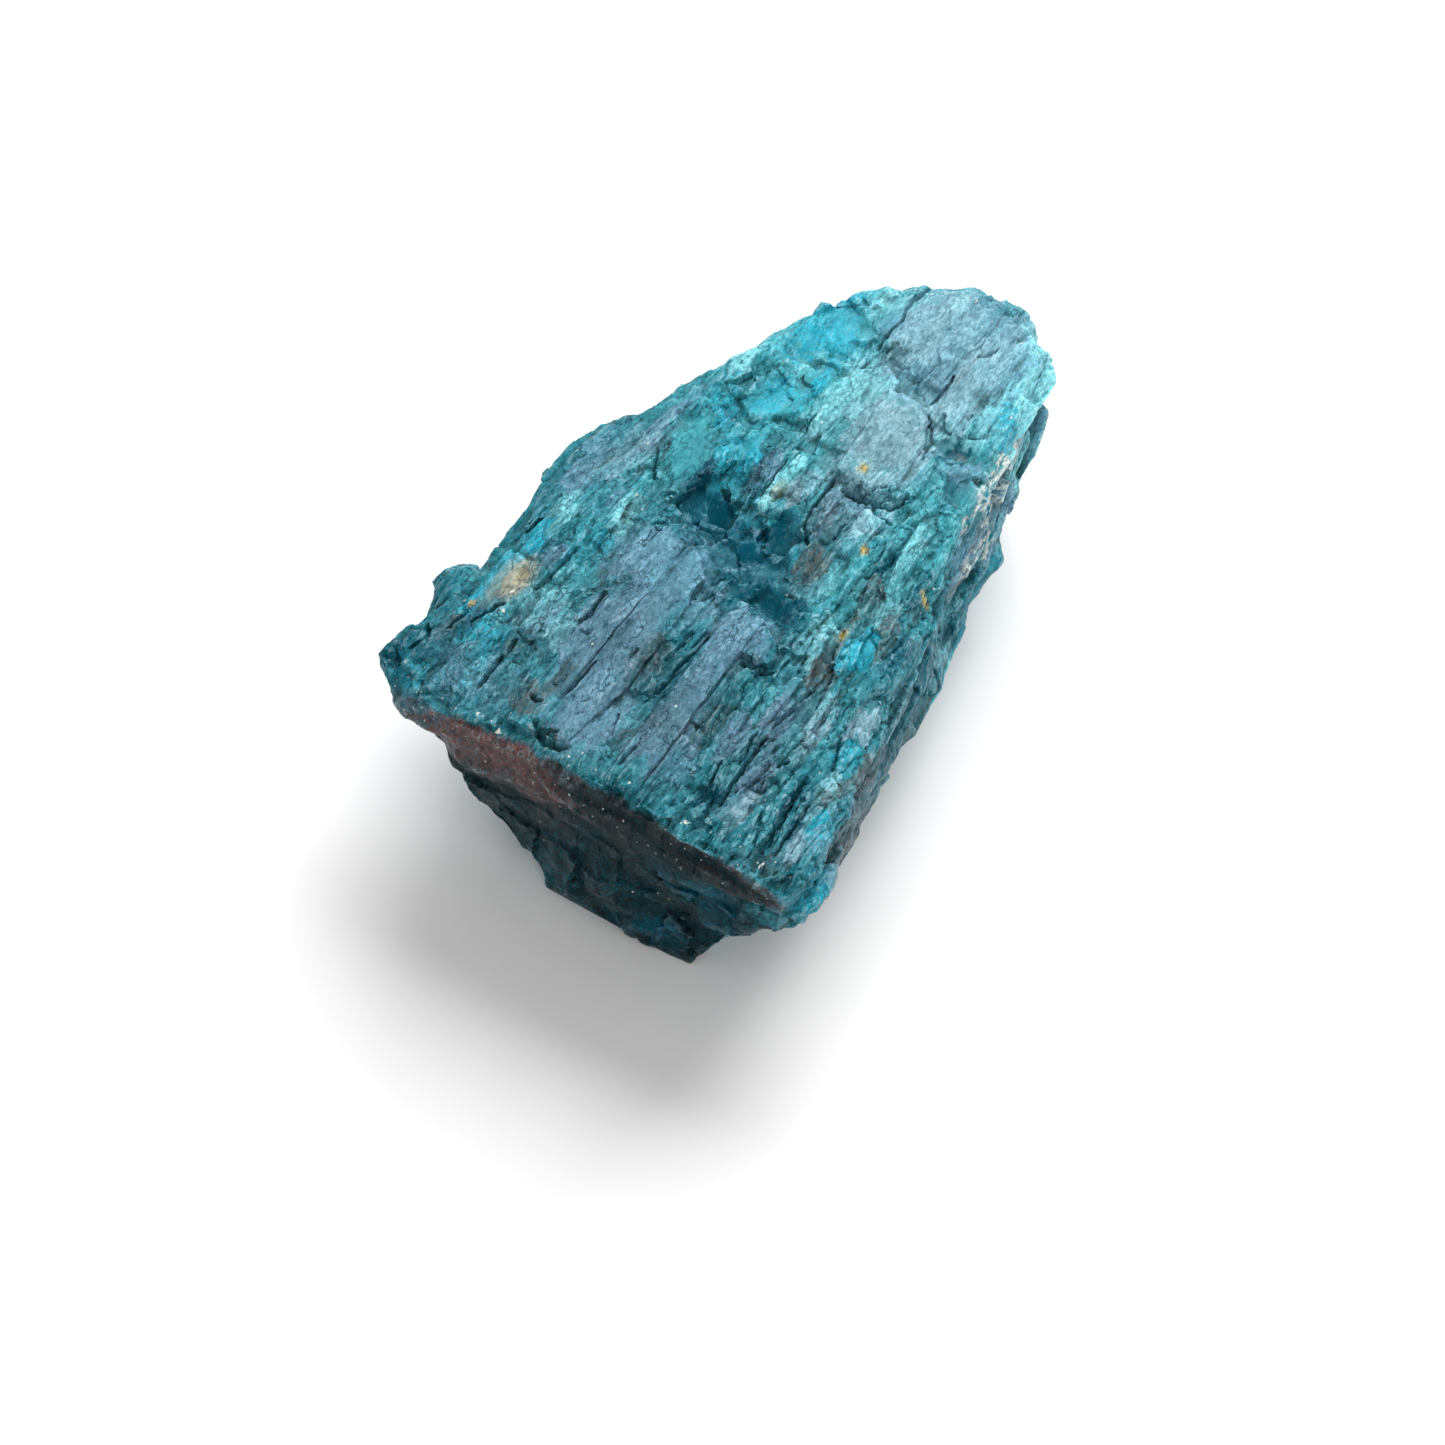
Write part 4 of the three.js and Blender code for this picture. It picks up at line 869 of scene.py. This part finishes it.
# On the wide end: pigment, (x, z), (half width, half height), strength and turn.
ON_END = (
    # plum: the end's own purple-brown band, with painted shade and a painted warm reflection of bounced light
    ("plum_shade_and_bounce", (-1.0, 10.4), (8.2, 3.6), 1.0, 0.1),
    ("plum_shade_and_bounce", (9.0, 12.2), (7.2, 1.5), 1.0, -0.08),
    ("cyan", (-10.0, 13.0), (3.0, 0.8), 0.6, 0.3),
    ("rust", (13.2, 11.2), (1.8, 0.9), 0.8),
    ("umber", (-3.4, 12.4), (2.6, 0.8), 0.6, 0.2),
    ("umber", (1.6, 10.6), (1.0, 2.2), 0.5, 0.5),
    # painted shade: near black where the wide end lies in shadow
    ("painted_end_shade", (8.2, 11.9), (6.0, 1.6), 2.4, -0.08),
    ("painted_end_shade", (3.0, 7.2), (4.0, 1.1), 1.0, -0.4),
    ("painted_end_shade", (6.3, 10.4), (3.4, 1.1), 1.0, -0.5),
    ("painted_end_shade", (8.0, 4.5), (8.5, 8.0), 1.1),
    ("painted_end_shade", (-4.0, 5.0), (6.0, 4.4), 1.2, 0.3),
    ("deep", (11.6, 8.4), (2.2, 1.6), 0.7, 0.4),
    ("deep", (12.4, 5.0), (1.6, 2.4), 0.6),
    ("deep", (8.4, 2.2), (1.5, 1.3), 0.8, -0.4),
    ("deep", (5.2, 1.6), (1.2, 1.4), 0.5, 0.3),
    ("deep", (9.0, 8.6), (0.9, 1.6), 0.5, 0.6),
    ("slate_and_sheen", (12.2, 10.0), (1.0, 0.8), 0.6),
    ("slate_and_sheen", (7.6, 5.2), (0.7, 0.8), 0.5),
    ("slate_and_sheen", (6.0, 2.9), (0.5, 0.6), 0.5),
    ("sea", (11.9, 3.4), (0.9, 1.2), 0.6, 0.5),
    ("sea", (9.8, 6.6), (0.5, 1.3), 0.5, 0.6),
    ("sea", (6.9, 7.6), (0.5, 0.9), 0.5, 0.7),
    ("slate_and_sheen", (8.6, 4.2), (0.3, 1.0), 0.8, 0.8),
    ("slate_and_sheen", (3.6, 5.0), (0.3, 0.9), 0.7, 0.6),
    ("sea", (1.0, 3.4), (0.5, 0.9), 0.4, 0.5),
)

# On the right flank: pigment, (y, z), (half length, half height), strength and turn.
ON_FLANK = (
    # painted reflection: pale streaks where the flank's striations catch the light
    ("painted_reflection", (11.5, 9.8), (3.2, 1.3), 2.2, -0.1),
    ("painted_reflection", (7.2, 8.4), (2.4, 0.9), 2.0, -0.1),
    ("painted_reflection", (9.6, 11.3), (2.6, 0.8), 2.0, -0.1),
    ("slate_and_sheen", (5.5, 9.6), (3.0, 2.0), 0.7),
    ("aqua", (15.4, 8.0), (2.6, 4.0), 0.7),
    ("aqua", (3.0, 6.4), (2.6, 0.8), 0.6),
    ("deep", (-5.0, 8.6), (6.5, 1.6), 0.7),
    ("slate_and_sheen", (-13.5, 8.6), (5.5, 3.6), 0.6),
    ("umber", (-12.0, 10.6), (5.0, 1.2), 0.6),
    ("umber", (-11.0, 5.6), (4.0, 1.2), 0.5),
    ("cyan", (-18.5, 9.0), (1.8, 3.4), 0.7),
    ("cyan", (-3.0, 5.2), (2.4, 0.7), 0.6),
    ("rust", (-15.5, 6.0), (5.0, 4.0), 0.7),
    ("rust", (-5.0, 8.0), (6.0, 2.6), 0.4),
)

# The tan inclusion and its halo near the left edge, and the bright specks: the same without a pigment.
TAN = (
    ((-8.05, -11.5), (0.85, 1.6), 1.0),
    ((-8.8, -11.9), (0.7, 1.9), 0.45),
)
OCHRE = (
    ((-8.0, -11.2), (0.35, 0.6), 0.2, 0.1),
    ((-9.5, -13.9), (0.16, 0.3), 1.0, -0.5),
    ((4.7, 5.7), (0.26, 0.3), 0.9),
    ((7.7, 1.0), (0.24, 0.36), 1.0, 0.3),
    ((12.0, 0.7), (0.18, 0.22), 0.8),
    ((9.8, -4.6), (0.25, 0.5), 0.6, 0.2),
    ((1.2, 1.9), (0.4, 0.7), 0.25),
)
CRUMBS = (
    ((9.4, -20.2), (0.29, 0.15), 1.0, 0.1),
    ((14.4, -20.4), (0.17, 0.21), 1.0),
    ((5.4, -20.1), (0.21, 0.11), 0.9, 0.5),
    ((6.2, -19.7), (0.1, 0.1), 0.9),
    ((-3.0, -20.8), (0.24, 0.14), 1.0),
    ((-4.5, -20.5), (0.11, 0.15), 1.0),
    ((0.7, 19.8), (0.1, 0.18), 0.9, 0.5),
    ((3.3, 20.6), (0.11, 0.21), 0.7, 0.3),
    ((-10.2, -13.8), (0.07, 0.1), 0.9),
    ((-7.4, -13.8), (0.1, 0.11), 0.8),
    ((-0.5, -15.5), (0.11, 0.07), 0.7, -0.4),
    ((8.6, 2.5), (0.08, 0.08), 0.8),
    ((-7.8, -12.3), (0.14, 0.17), 0.8),
    ((12.9, -19.2), (0.08, 0.08), 0.8),
)

# The pigments. Their order decides which streaks break each of them up.
PIGMENTS = (
    "sea", "aqua", "slate_and_sheen", "frost_and_sheen", "cyan", "umber", "rust", "hollow_grey",
    "plum_shade_and_bounce", "deep", "painted_reflection", "tan", "ochre", "crumb", "painted_end_shade",
)


def spread(u, v, weight, patches, into, ragged):
    """Adds each patch of a list to its pigment's weight at every vertex."""
    for i, (pigment, centre, half, strength, *turn) in enumerate(patches):
        uneven = ragged[i % len(ragged)]
        patch = 1 - ramp(reach(u, v, centre, half, *turn) + uneven, 0.45, 1.45)
        into[pigment] = np.maximum(into[pigment], strength * weight * patch)


def pigment_weights(plan, facing, low):
    """How much of each pigment lies at each point, and the tones that vary all of them."""
    # a block mostly has one colour, so the plan is read near the middle of each block
    number, away, _ = split_blocks(plan, SMALL_BLOCK)
    shift = away * SMALL_BLOCK[:3] * (0.75, 0.75, 0)
    large_number = split_blocks(plan, LARGE_BLOCK)[0]
    chip = 0.6 * (2 * share(number, 7) - 1) + 0.6 * (2 * share(large_number, 8) - 1)
    end = end_share(plan, facing + 0.1 * fractal(plan * 0.7, 3, 171)[:, None])
    top = top_share(plan)
    middle = plan - shift * (top * (1 - end) * ramp(plan[:, 1], -21.5, -19.5))[:, None]
    grid = fibre_grid(middle)
    x, y, z = middle.T
    ragged = [0.5 * fractal(grid * (0.8, 0.3, 0.8), 4, 90 + i, 0.6) for i in range(5)]
    flank = ramp(x, 6.0, 8.0) * ramp(12.6 - z, 0.0, 0.8) * (1 - end)
    found = {pigment: np.zeros(len(plan), np.float32) for pigment in PIGMENTS}
    # long streaks colour the sides that have no patches of their own
    hidden = 1 - 0.85 * top
    hidden *= 1 - 0.8 * end
    streak = [fractal(grid * (0.5, 0.10, 0.5), 4, 100 + i, 0.55) for i in range(4)]
    found["slate_and_sheen"] += hidden * ramp(streak[0], -0.05, 0.35)
    found["aqua"] += hidden * 0.8 * ramp(streak[1], 0.05, 0.45)
    found["deep"] += hidden * 0.8 * ramp(streak[2], 0.05, 0.4)
    found["umber"] += hidden * 0.7 * ramp(streak[3], 0.12, 0.4)
    found["cyan"] += hidden * 0.6 * ramp(-streak[0], 0.1, 0.4)
    spread(x, y, top * (1 - end), ON_TOP, found, ragged)
    # a darker grey-green laid into hollows, in patches
    grey_patches = ramp(fractal(grid * (0.45, 0.16, 0.45), 4, 165, 0.6), -0.05, 0.3)
    found["hollow_grey"] = (1 - end) * (0.12 + 0.40 * grey_patches) * ramp(low, -0.1, 0.9)
    spread(x, z, end, ON_END, found, ragged)
    spread(y, z, flank, ON_FLANK, found, ragged)
    # streaks along the fibres and wisps across them break the patches up
    bent = grid + 0.5 * np.stack([fractal(plan * 0.7, 3, seed) for seed in (131, 132, 133)], 1)
    streaks = [fractal(bent * (1.4, 0.33, 1.4), 5, 140 + i, 0.66) for i in range(3)]
    blotches = [fractal(plan * (0.9, 0.7, 0.9), 5, 150 + i, 0.66) for i in range(2)]
    for i, (pigment, weight) in enumerate(found.items()):
        uneven = 1.2 * streaks[i % 3] + 0.9 * blotches[i % 2]
        found[pigment] = np.clip(weight * (0.4 + 0.9 * ramp(uneven + 0.3 * weight, -0.45, 0.5)), 0, 1)
    fine = [0.25 * fractal(plan * 2.2, 2, 120 + i) for i in range(2)]
    for pigment, patches in (("tan", TAN), ("ochre", OCHRE), ("crumb", CRUMBS)):
        named = [(pigment, *patch) for patch in patches]
        spread(plan[:, 0], plan[:, 1], ramp(z, 9.0, 10.0), named, found, fine)
    found["slate_and_sheen"] *= 1 - 0.9 * found["tan"]
    found["hollow_grey"] *= 1 - found["deep"]
    # the painted reflection falls into streaks along the striations
    found["painted_reflection"] *= ramp(fractal(bent * (2.6, 0.35, 2.6), 3, 160, 0.6), -0.12, 0.12)
    strands = fractal(bent * (1.6, 0.18, 1.6), 4, 161, 0.6)
    tones = {"streak": 0.6 * streaks[0] + 0.6 * strands, "blotch": blotches[0], "chip": chip}
    return found | tones


def upper_tones(plan):
    """Painted light, mostly brighter towards the tip, and where the stone is greyer, glassier, less cracked
    or has painted glints.
    """
    x, y, z = plan.T
    top = top_share(plan)
    # painted light and shade on the upper face: lighter from the middle towards the tip, a little darker at
    # the tip's end, lighter on the tip's right
    painted_light = 1 + 0.08 * ramp(y, -1.0, 9.0) - 0.10 * ramp(y, 13.0, 16.0)
    painted_light += 0.3 * (1 - ramp(reach(x, y, (8.9, 17.0), (2.0, 4.5), 0.2), 0.5, 1.3))
    dull = 1 - ramp(y, -12.0, -2.0)
    dull *= 1 - 0.7 * ramp(-x, 3.0, 6.0) * ramp(y, -15.0, -11.0) - 0.7 * ramp(x, 13.0, 15.0)
    glassy = [glassiness * glassy_share(plan, corners) for corners, _, glassiness in GLASSY]
    # where painted glints sparkle: along the wide end's upper rim, at the tip and towards the right
    sparkling = np.maximum(ramp(-y, 18.0, 20.5) * ramp(z, 8.0, 10.0), ramp(y, 16.0, 20.0))
    return {
        "painted_light": 1 + (painted_light - 1) * top,
        "dull": top * dull,
        "clear": top * ramp(y, 3.0, 9.0),
        "glassy": np.max(glassy, 0),
        "sparkling": np.maximum(sparkling, 0.5 * top * ramp(x, 7.0, 12.0)),
    }


def standing_out(places, normals, edges, near, size, rounds):
    """From -1 in hollows to 1 on ridges, judged by how far the surface stands out from its surroundings."""
    height = np.einsum("ij,ij->i", places - smoothed(places, edges, near), normals)
    return smoothed(np.clip(height / size, -1, 1)[:, None], edges, rounds)[:, 0]


def write_attribute(name, values):
    flat = values.ndim == 1
    attribute = mesh.attributes.new(name, "FLOAT" if flat else "FLOAT_VECTOR", "POINT")
    attribute.data.foreach_set("value" if flat else "vector", values.astype(np.float32).ravel())


places, edges = vertex_array(mesh), edge_array(mesh)
normals = normal_array(mesh)
plan = places - PLAN_ZERO
low = -standing_out(places, normals, edges, 24, 0.12, 2)
facing = smoothed(normals, edges, COLOUR_FACING_ROUNDS)
facing /= np.linalg.norm(facing, axis=1)[:, None]
attributes = pigment_weights(plan, facing, low) | upper_tones(plan)
attributes["low"] = low
attributes["edge"] = standing_out(places, normals, edges, 4, 0.05, 1)
attributes["fibre"] = fibre_grid(plan)
for name, values in attributes.items():
    write_attribute(name, values)
mesh.transform(Matrix.Scale(MM, 4))


# ---------------------------------------------------------------- the material
# Linear red, green and blue of each pigment, and of the teal ground.
COLOURS = {
    "teal": (0.003, 0.120, 0.158),
    "sea": (0.038, 0.285, 0.330),
    "aqua": (0.155, 0.490, 0.545),
    # slate: grey-blue skin, partly a painted sheen
    "slate_and_sheen": (0.086, 0.220, 0.305),
    # frost: paler grey-blue, partly a painted sheen on the slabs
    "frost_and_sheen": (0.180, 0.370, 0.440),
    "cyan": (0.012, 0.295, 0.395),
    "umber": (0.026, 0.068, 0.078),
    "rust": (0.085, 0.088, 0.080),
    # hollow grey: a darker grey-green for hollows
    "hollow_grey": (0.040, 0.105, 0.100),
    # plum: own colour darkened by painted shade and warmed by a painted reflection
    "plum_shade_and_bounce": (0.105, 0.053, 0.046),
    "deep": (0.000, 0.066, 0.104),
    # painted reflection on the right flank
    "painted_reflection": (0.46, 0.55, 0.52),
    "tan": (0.264, 0.305, 0.236),
    "ochre": (0.46, 0.37, 0.08),
    "crumb": (0.74, 0.76, 0.70),
    # painted shade for the wide end
    "painted_end_shade": (0.005, 0.006, 0.006),
}

# The pigments in the order they are laid over the ground.
LAID = (
    "sea", "aqua", "slate_and_sheen", "frost_and_sheen", "cyan", "umber", "rust", "hollow_grey",
    "plum_shade_and_bounce", "painted_end_shade", "deep", "painted_reflection", "tan", "ochre",
)


class Graph:
    """Short names for the nodes of one material. Each method adds a node and gives its output."""

    def __init__(self, material):
        self.tree = material.node_tree
        self.made = 0

    def node(self, kind, inputs, **settings):
        node = self.tree.nodes.new(kind)
        self.made += 1
        node.location = (-220 * (self.made // 8), -180 * (self.made % 8))
        for key, value in settings.items():
            setattr(node, key, value)
        for key, value in inputs.items():
            if isinstance(value, bpy.types.NodeSocket):
                self.tree.links.new(value, node.inputs[key])
            elif value is not None:
                node.inputs[key].default_value = value
        return node

    def attribute(self, name, output="Fac"):
        return self.node("ShaderNodeAttribute", {}, attribute_name=name).outputs[output]

    def scaled(self, vector, scale, shift=(0, 0, 0)):
        inputs = {0: vector, 1: scale, 2: shift}
        return self.node("ShaderNodeVectorMath", inputs, operation="MULTIPLY_ADD").outputs[0]

    def noise(self, vector, detail, roughness, distortion=0.0):
        inputs = {"Vector": vector, "Scale": 1.0, "Detail": detail}
        inputs |= {"Roughness": roughness, "Distortion": distortion}
        return self.node("ShaderNodeTexNoise", inputs).outputs["Fac"]

    def cells(self, vector, feature):
        return self.node("ShaderNodeTexVoronoi", {"Vector": vector, "Scale": 1.0}, feature=feature).outputs

    def colour(self, red, green, blue):
        return self.node("ShaderNodeCombineColor", {0: red, 1: green, 2: blue}).outputs[0]

    def math(self, operation, a, b=None, clamp=False):
        return self.node("ShaderNodeMath", {0: a, 1: b}, operation=operation, use_clamp=clamp).outputs[0]

    def times(self, a, b):
        return self.math("MULTIPLY", a, b)

    def plus(self, a, b):
        return self.math("ADD", a, b)

    def ramp(self, value, low, high, to_low=0.0, to_high=1.0):
        inputs = {"Value": value, "From Min": low, "From Max": high, "To Min": to_low, "To Max": to_high}
        return self.node("ShaderNodeMapRange", inputs, interpolation_type="SMOOTHSTEP").outputs[0]

    def mix(self, factor, a, b, blend="MIX"):
        node = self.node("ShaderNodeMix", {"Factor": factor}, data_type="RGBA", blend_type=blend)
        for socket, value in ((6, a), (7, b)):
            if isinstance(value, bpy.types.NodeSocket):
                self.tree.links.new(value, node.inputs[socket])
            else:
                node.inputs[socket].default_value = (*value, 1)
        return node.outputs[2]


def pigmented(graph, fine, threads):
    """The ground colour with each pigment laid over it in turn."""
    ground = COLOURS["teal"]
    paler = [c * 1.5 + 0.01 for c in ground]
    colour = graph.mix(graph.ramp(graph.attribute("blotch"), -0.25, 0.3), ground, paler)
    for i, pigment in enumerate(LAID):
        uneven = graph.ramp((fine, threads)[i % 2], 0.36, 0.64, 0.65, 1.6)
        factor = graph.math("MULTIPLY", graph.attribute(pigment), uneven, clamp=True)
        colour = graph.mix(factor, colour, COLOURS[pigment])
    return colour


def hairlines(graph, fibre, layers, streak, cracked):
    """Where hairline cracks run: fewer of them where the slabs have frost and painted sheen."""
    bend = graph.node("ShaderNodeTexNoise", {"Vector": fibre, "Scale": 1.3, "Detail": 2.0}).outputs["Color"]
    bent = graph.scaled(bend, (1.1, 2.4, 1.1), fibre)
    border = graph.cells(graph.scaled(bent, (1.05, 0.42, 0.8)), "DISTANCE_TO_EDGE")["Distance"]
    where = graph.ramp(graph.plus(layers, graph.times(streak, 0.3)), 0.46, 0.60)
    hair = graph.times(graph.ramp(border, 0.008, 0.045, 1.0, 0.0), where)
    hair = graph.times(hair, cracked)
    return graph.times(hair, graph.ramp(graph.attribute("frost_and_sheen"), 0.2, 0.8, 1.0, 0.35))


def flecks(graph, at):
    """Scattered white flecks, painted glints where the stone sparkles, and the crumbs that have a place of
    their own.
    """
    cell = graph.cells(graph.scaled(at, (1.25, 1.0, 1.25)), "F1")
    chosen = graph.ramp(graph.node("ShaderNodeSeparateColor", {0: cell["Color"]}).outputs[0], 0.90, 0.91)
    fleck = graph.times(graph.ramp(cell["Distance"], 0.05, 0.11, 1.0, 0.0), chosen)
    fleck = graph.math("MAXIMUM", fleck, graph.ramp(graph.attribute("crumb"), 0.35, 0.6))
    cell = graph.cells(graph.scaled(at, (3.6, 3.1, 3.4)), "F1")
    chosen = graph.ramp(graph.node("ShaderNodeSeparateColor", {0: cell["Color"]}).outputs[0], 0.84, 0.88)
    chosen = graph.times(chosen, graph.attribute("sparkling"))
    painted_glints = graph.times(graph.ramp(cell["Distance"], 0.12, 0.26, 1.0, 0.0), chosen)
    return graph.math("MAXIMUM", fleck, graph.times(painted_glints, 0.8))


def apatite_material():
    material = bpy.data.materials.new("apatite")
    material.use_nodes = True
    graph = Graph(material)
    bsdf = material.node_tree.nodes["Principled BSDF"]
    link = material.node_tree.links.new
    at = graph.scaled(graph.node("ShaderNodeTexCoord", {}).outputs["Object"], (1000, 1000, 1000))
    fibre = graph.attribute("fibre", "Vector")
    edge = graph.attribute("edge")
    streak = graph.attribute("streak")
    glassy = graph.attribute("glassy")

    fine = graph.noise(graph.scaled(at, (3.6, 2.8, 3.6)), 4, 0.74)
    threads = graph.noise(graph.scaled(fibre, (5.2, 2.0, 5.2)), 3, 0.62, 0.6)
    layers = graph.noise(graph.scaled(fibre, (1.5, 0.5, 1.5)), 5, 0.6, 0.4)

    # thin layers that end in broken edges: the place between one edge, 0, and the next, 1
    tread = graph.math("FRACT", graph.times(layers, 9.0))
    shown = graph.ramp(graph.plus(fine, graph.times(streak, 0.8)), 0.42, 0.62)
    # the foot of each step takes painted shade and some dirt, its rim a painted highlight
    riser = graph.times(graph.ramp(tread, 0.0, 0.24, 1.0, 0.0), shown)
    rim = graph.times(graph.ramp(tread, 0.6, 1.0), shown)

    # glassy faces have less of all that is rough, and there are fewer cracks towards the tip
    rough_share = graph.ramp(glassy, 0.1, 1.0, 1.0, 0.3)
    cracked = graph.times(rough_share, graph.ramp(graph.attribute("clear"), 0.0, 1.0, 1.0, 0.5))

    colour = pigmented(graph, fine, threads)
    # lighter and darker threads, flecks and blocks
    tone = graph.plus(graph.times(fine, 0.6), graph.times(threads, 0.6))
    tone = graph.plus(tone, graph.times(streak, 0.25))
    light = graph.ramp(tone, 0.44, 0.78, -0.34, 0.42)
    light = graph.plus(light, graph.times(graph.attribute("chip"), 0.16))
    light = graph.plus(graph.times(light, rough_share), 1.0)
    colour = graph.mix(1.0, colour, graph.colour(light, light, light), "MULTIPLY")
    # painted highlights on ridges and on the rims of steps, painted shade with some dirt in creases and at
    # the feet of steps, and hairline cracks
    painted_highlight = graph.math("MAXIMUM", graph.times(graph.ramp(edge, 0.2, 0.9), 0.9), rim)
    painted_highlight = graph.times(painted_highlight, graph.ramp(threads, 0.42, 0.62, 0.0, 0.38))
    painted_highlight = graph.times(painted_highlight, rough_share)
    # fewer painted highlights where the wide end has painted shade
    painted_highlight = graph.times(painted_highlight, graph.ramp(graph.attribute("painted_end_shade"), 0.2, 1.0, 1.0, 0.35))
    colour = graph.mix(painted_highlight, colour, (0.34, 0.54, 0.60))
    crease_shade_and_dirt = graph.ramp(edge, -0.9, -0.2, 0.6, 0.0)
    crease_shade_and_dirt = graph.math("MAXIMUM", crease_shade_and_dirt, graph.times(riser, 0.72))
    colour = graph.mix(graph.times(crease_shade_and_dirt, cracked), colour, (0.006, 0.035, 0.045))
    hair = hairlines(graph, fibre, layers, streak, cracked)
    colour = graph.mix(graph.times(hair, 0.7), colour, (0.004, 0.026, 0.036))
    # painted shade darkens the hollows, painted light brightens the upper face towards the tip, and the wide
    # half is greyer
    shade = graph.ramp(graph.attribute("low"), -0.9, 0.9, 1.14, 0.84)
    shade = graph.times(shade, graph.attribute("painted_light"))
    red = graph.times(shade, 1.1)
    blue = graph.times(shade, graph.ramp(graph.attribute("dull"), 0.0, 1.0, 1.0, 0.86))
    colour = graph.mix(1.0, colour, graph.colour(red, blue, blue), "MULTIPLY")
    # white flecks, crumbs and painted glints laid over the colour
    colour = graph.mix(graph.times(flecks(graph, at), 0.85), colour, COLOURS["crumb"])
    link(colour, bsdf.inputs["Base Color"])

    rough = graph.ramp(fine, 0.3, 0.7, 0.27, 0.55)
    link(graph.math("SUBTRACT", rough, graph.times(glassy, 0.2)), bsdf.inputs["Roughness"])

    height = graph.plus(graph.times(fine, 0.45), graph.times(threads, 0.35))
    height = graph.math("SUBTRACT", height, graph.times(riser, 0.45))
    height = graph.math("SUBTRACT", height, graph.times(hair, 0.5))
    height = graph.times(height, rough_share)
    bump = graph.node("ShaderNodeBump", {"Height": height, "Strength": 0.6, "Distance": 0.16 * MM})
    link(bump.outputs[0], bsdf.inputs["Normal"])
    bsdf.inputs["IOR"].default_value = 1.5
    bsdf.inputs["Specular IOR Level"].default_value = 0.24
    bsdf.inputs["Specular Tint"].default_value = (0.2, 0.85, 1.0, 1)
    bsdf.inputs["Subsurface Weight"].default_value = 0.12
    bsdf.inputs["Subsurface Radius"].default_value = (0.3, 0.9, 1.0)
    bsdf.inputs["Subsurface Scale"].default_value = 0.6 * MM
    return material


mesh.materials.append(apatite_material())
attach(stone, "root")
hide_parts(NODE)

# ---------------------------------------------------------------- floor, light and camera
bpy.ops.mesh.primitive_plane_add(size=3.0, location=(0, 0, 0))
floor = bpy.context.object
floor.name = "floor"
floor_material = bpy.data.materials.new("floor")
floor_material.use_nodes = True
floor_bsdf = floor_material.node_tree.nodes["Principled BSDF"]
floor_bsdf.inputs["Base Color"].default_value = (0.92, 0.92, 0.92, 1)
floor_bsdf.inputs["Roughness"].default_value = 0.8
floor.data.materials.append(floor_material)


def area_light(name, place, size, power, color):
    data = bpy.data.lights.new(name, "AREA")
    data.shape = "RECTANGLE"
    data.size, data.size_y = size
    data.energy = power
    data.color = color
    lamp = bpy.data.objects.new(name, data)
    bpy.context.collection.objects.link(lamp)
    lamp.location = place
    lamp.rotation_mode = "QUATERNION"
    lamp.rotation_quaternion = (-Vector(place)).to_track_quat("-Z", "Y")


area_light("window", (-0.10, 0.55, 0.50), (0.6, 0.5), 8.2, (0.98, 0.97, 0.97))
area_light("fill", (0.55, -0.30, 0.45), (0.5, 0.5), 1.2, (1.0, 0.98, 0.95))

world = bpy.data.worlds.new("studio")
world.use_nodes = True
world.node_tree.nodes["Background"].inputs["Color"].default_value = (0.97, 0.965, 0.97, 1)
world.node_tree.nodes["Background"].inputs["Strength"].default_value = 0.5
bpy.context.scene.world = world
bpy.context.scene.view_settings.view_transform = "Standard"

camera_data = bpy.data.cameras.new("camera")
camera_data.lens = LENS
camera_data.sensor_width = 36
camera = bpy.data.objects.new("camera", camera_data)
bpy.context.collection.objects.link(camera)
back = Vector(
    (
        math.sin(BEARING) * math.cos(ELEVATION),
        -math.cos(BEARING) * math.cos(ELEVATION),
        math.sin(ELEVATION),
    )
)
camera.location = AIM + back * DISTANCE
camera.rotation_mode = "QUATERNION"
camera.rotation_quaternion = (-back).to_track_quat("-Z", "Y")
bpy.context.scene.camera = camera

bpy.context.view_layer.update()
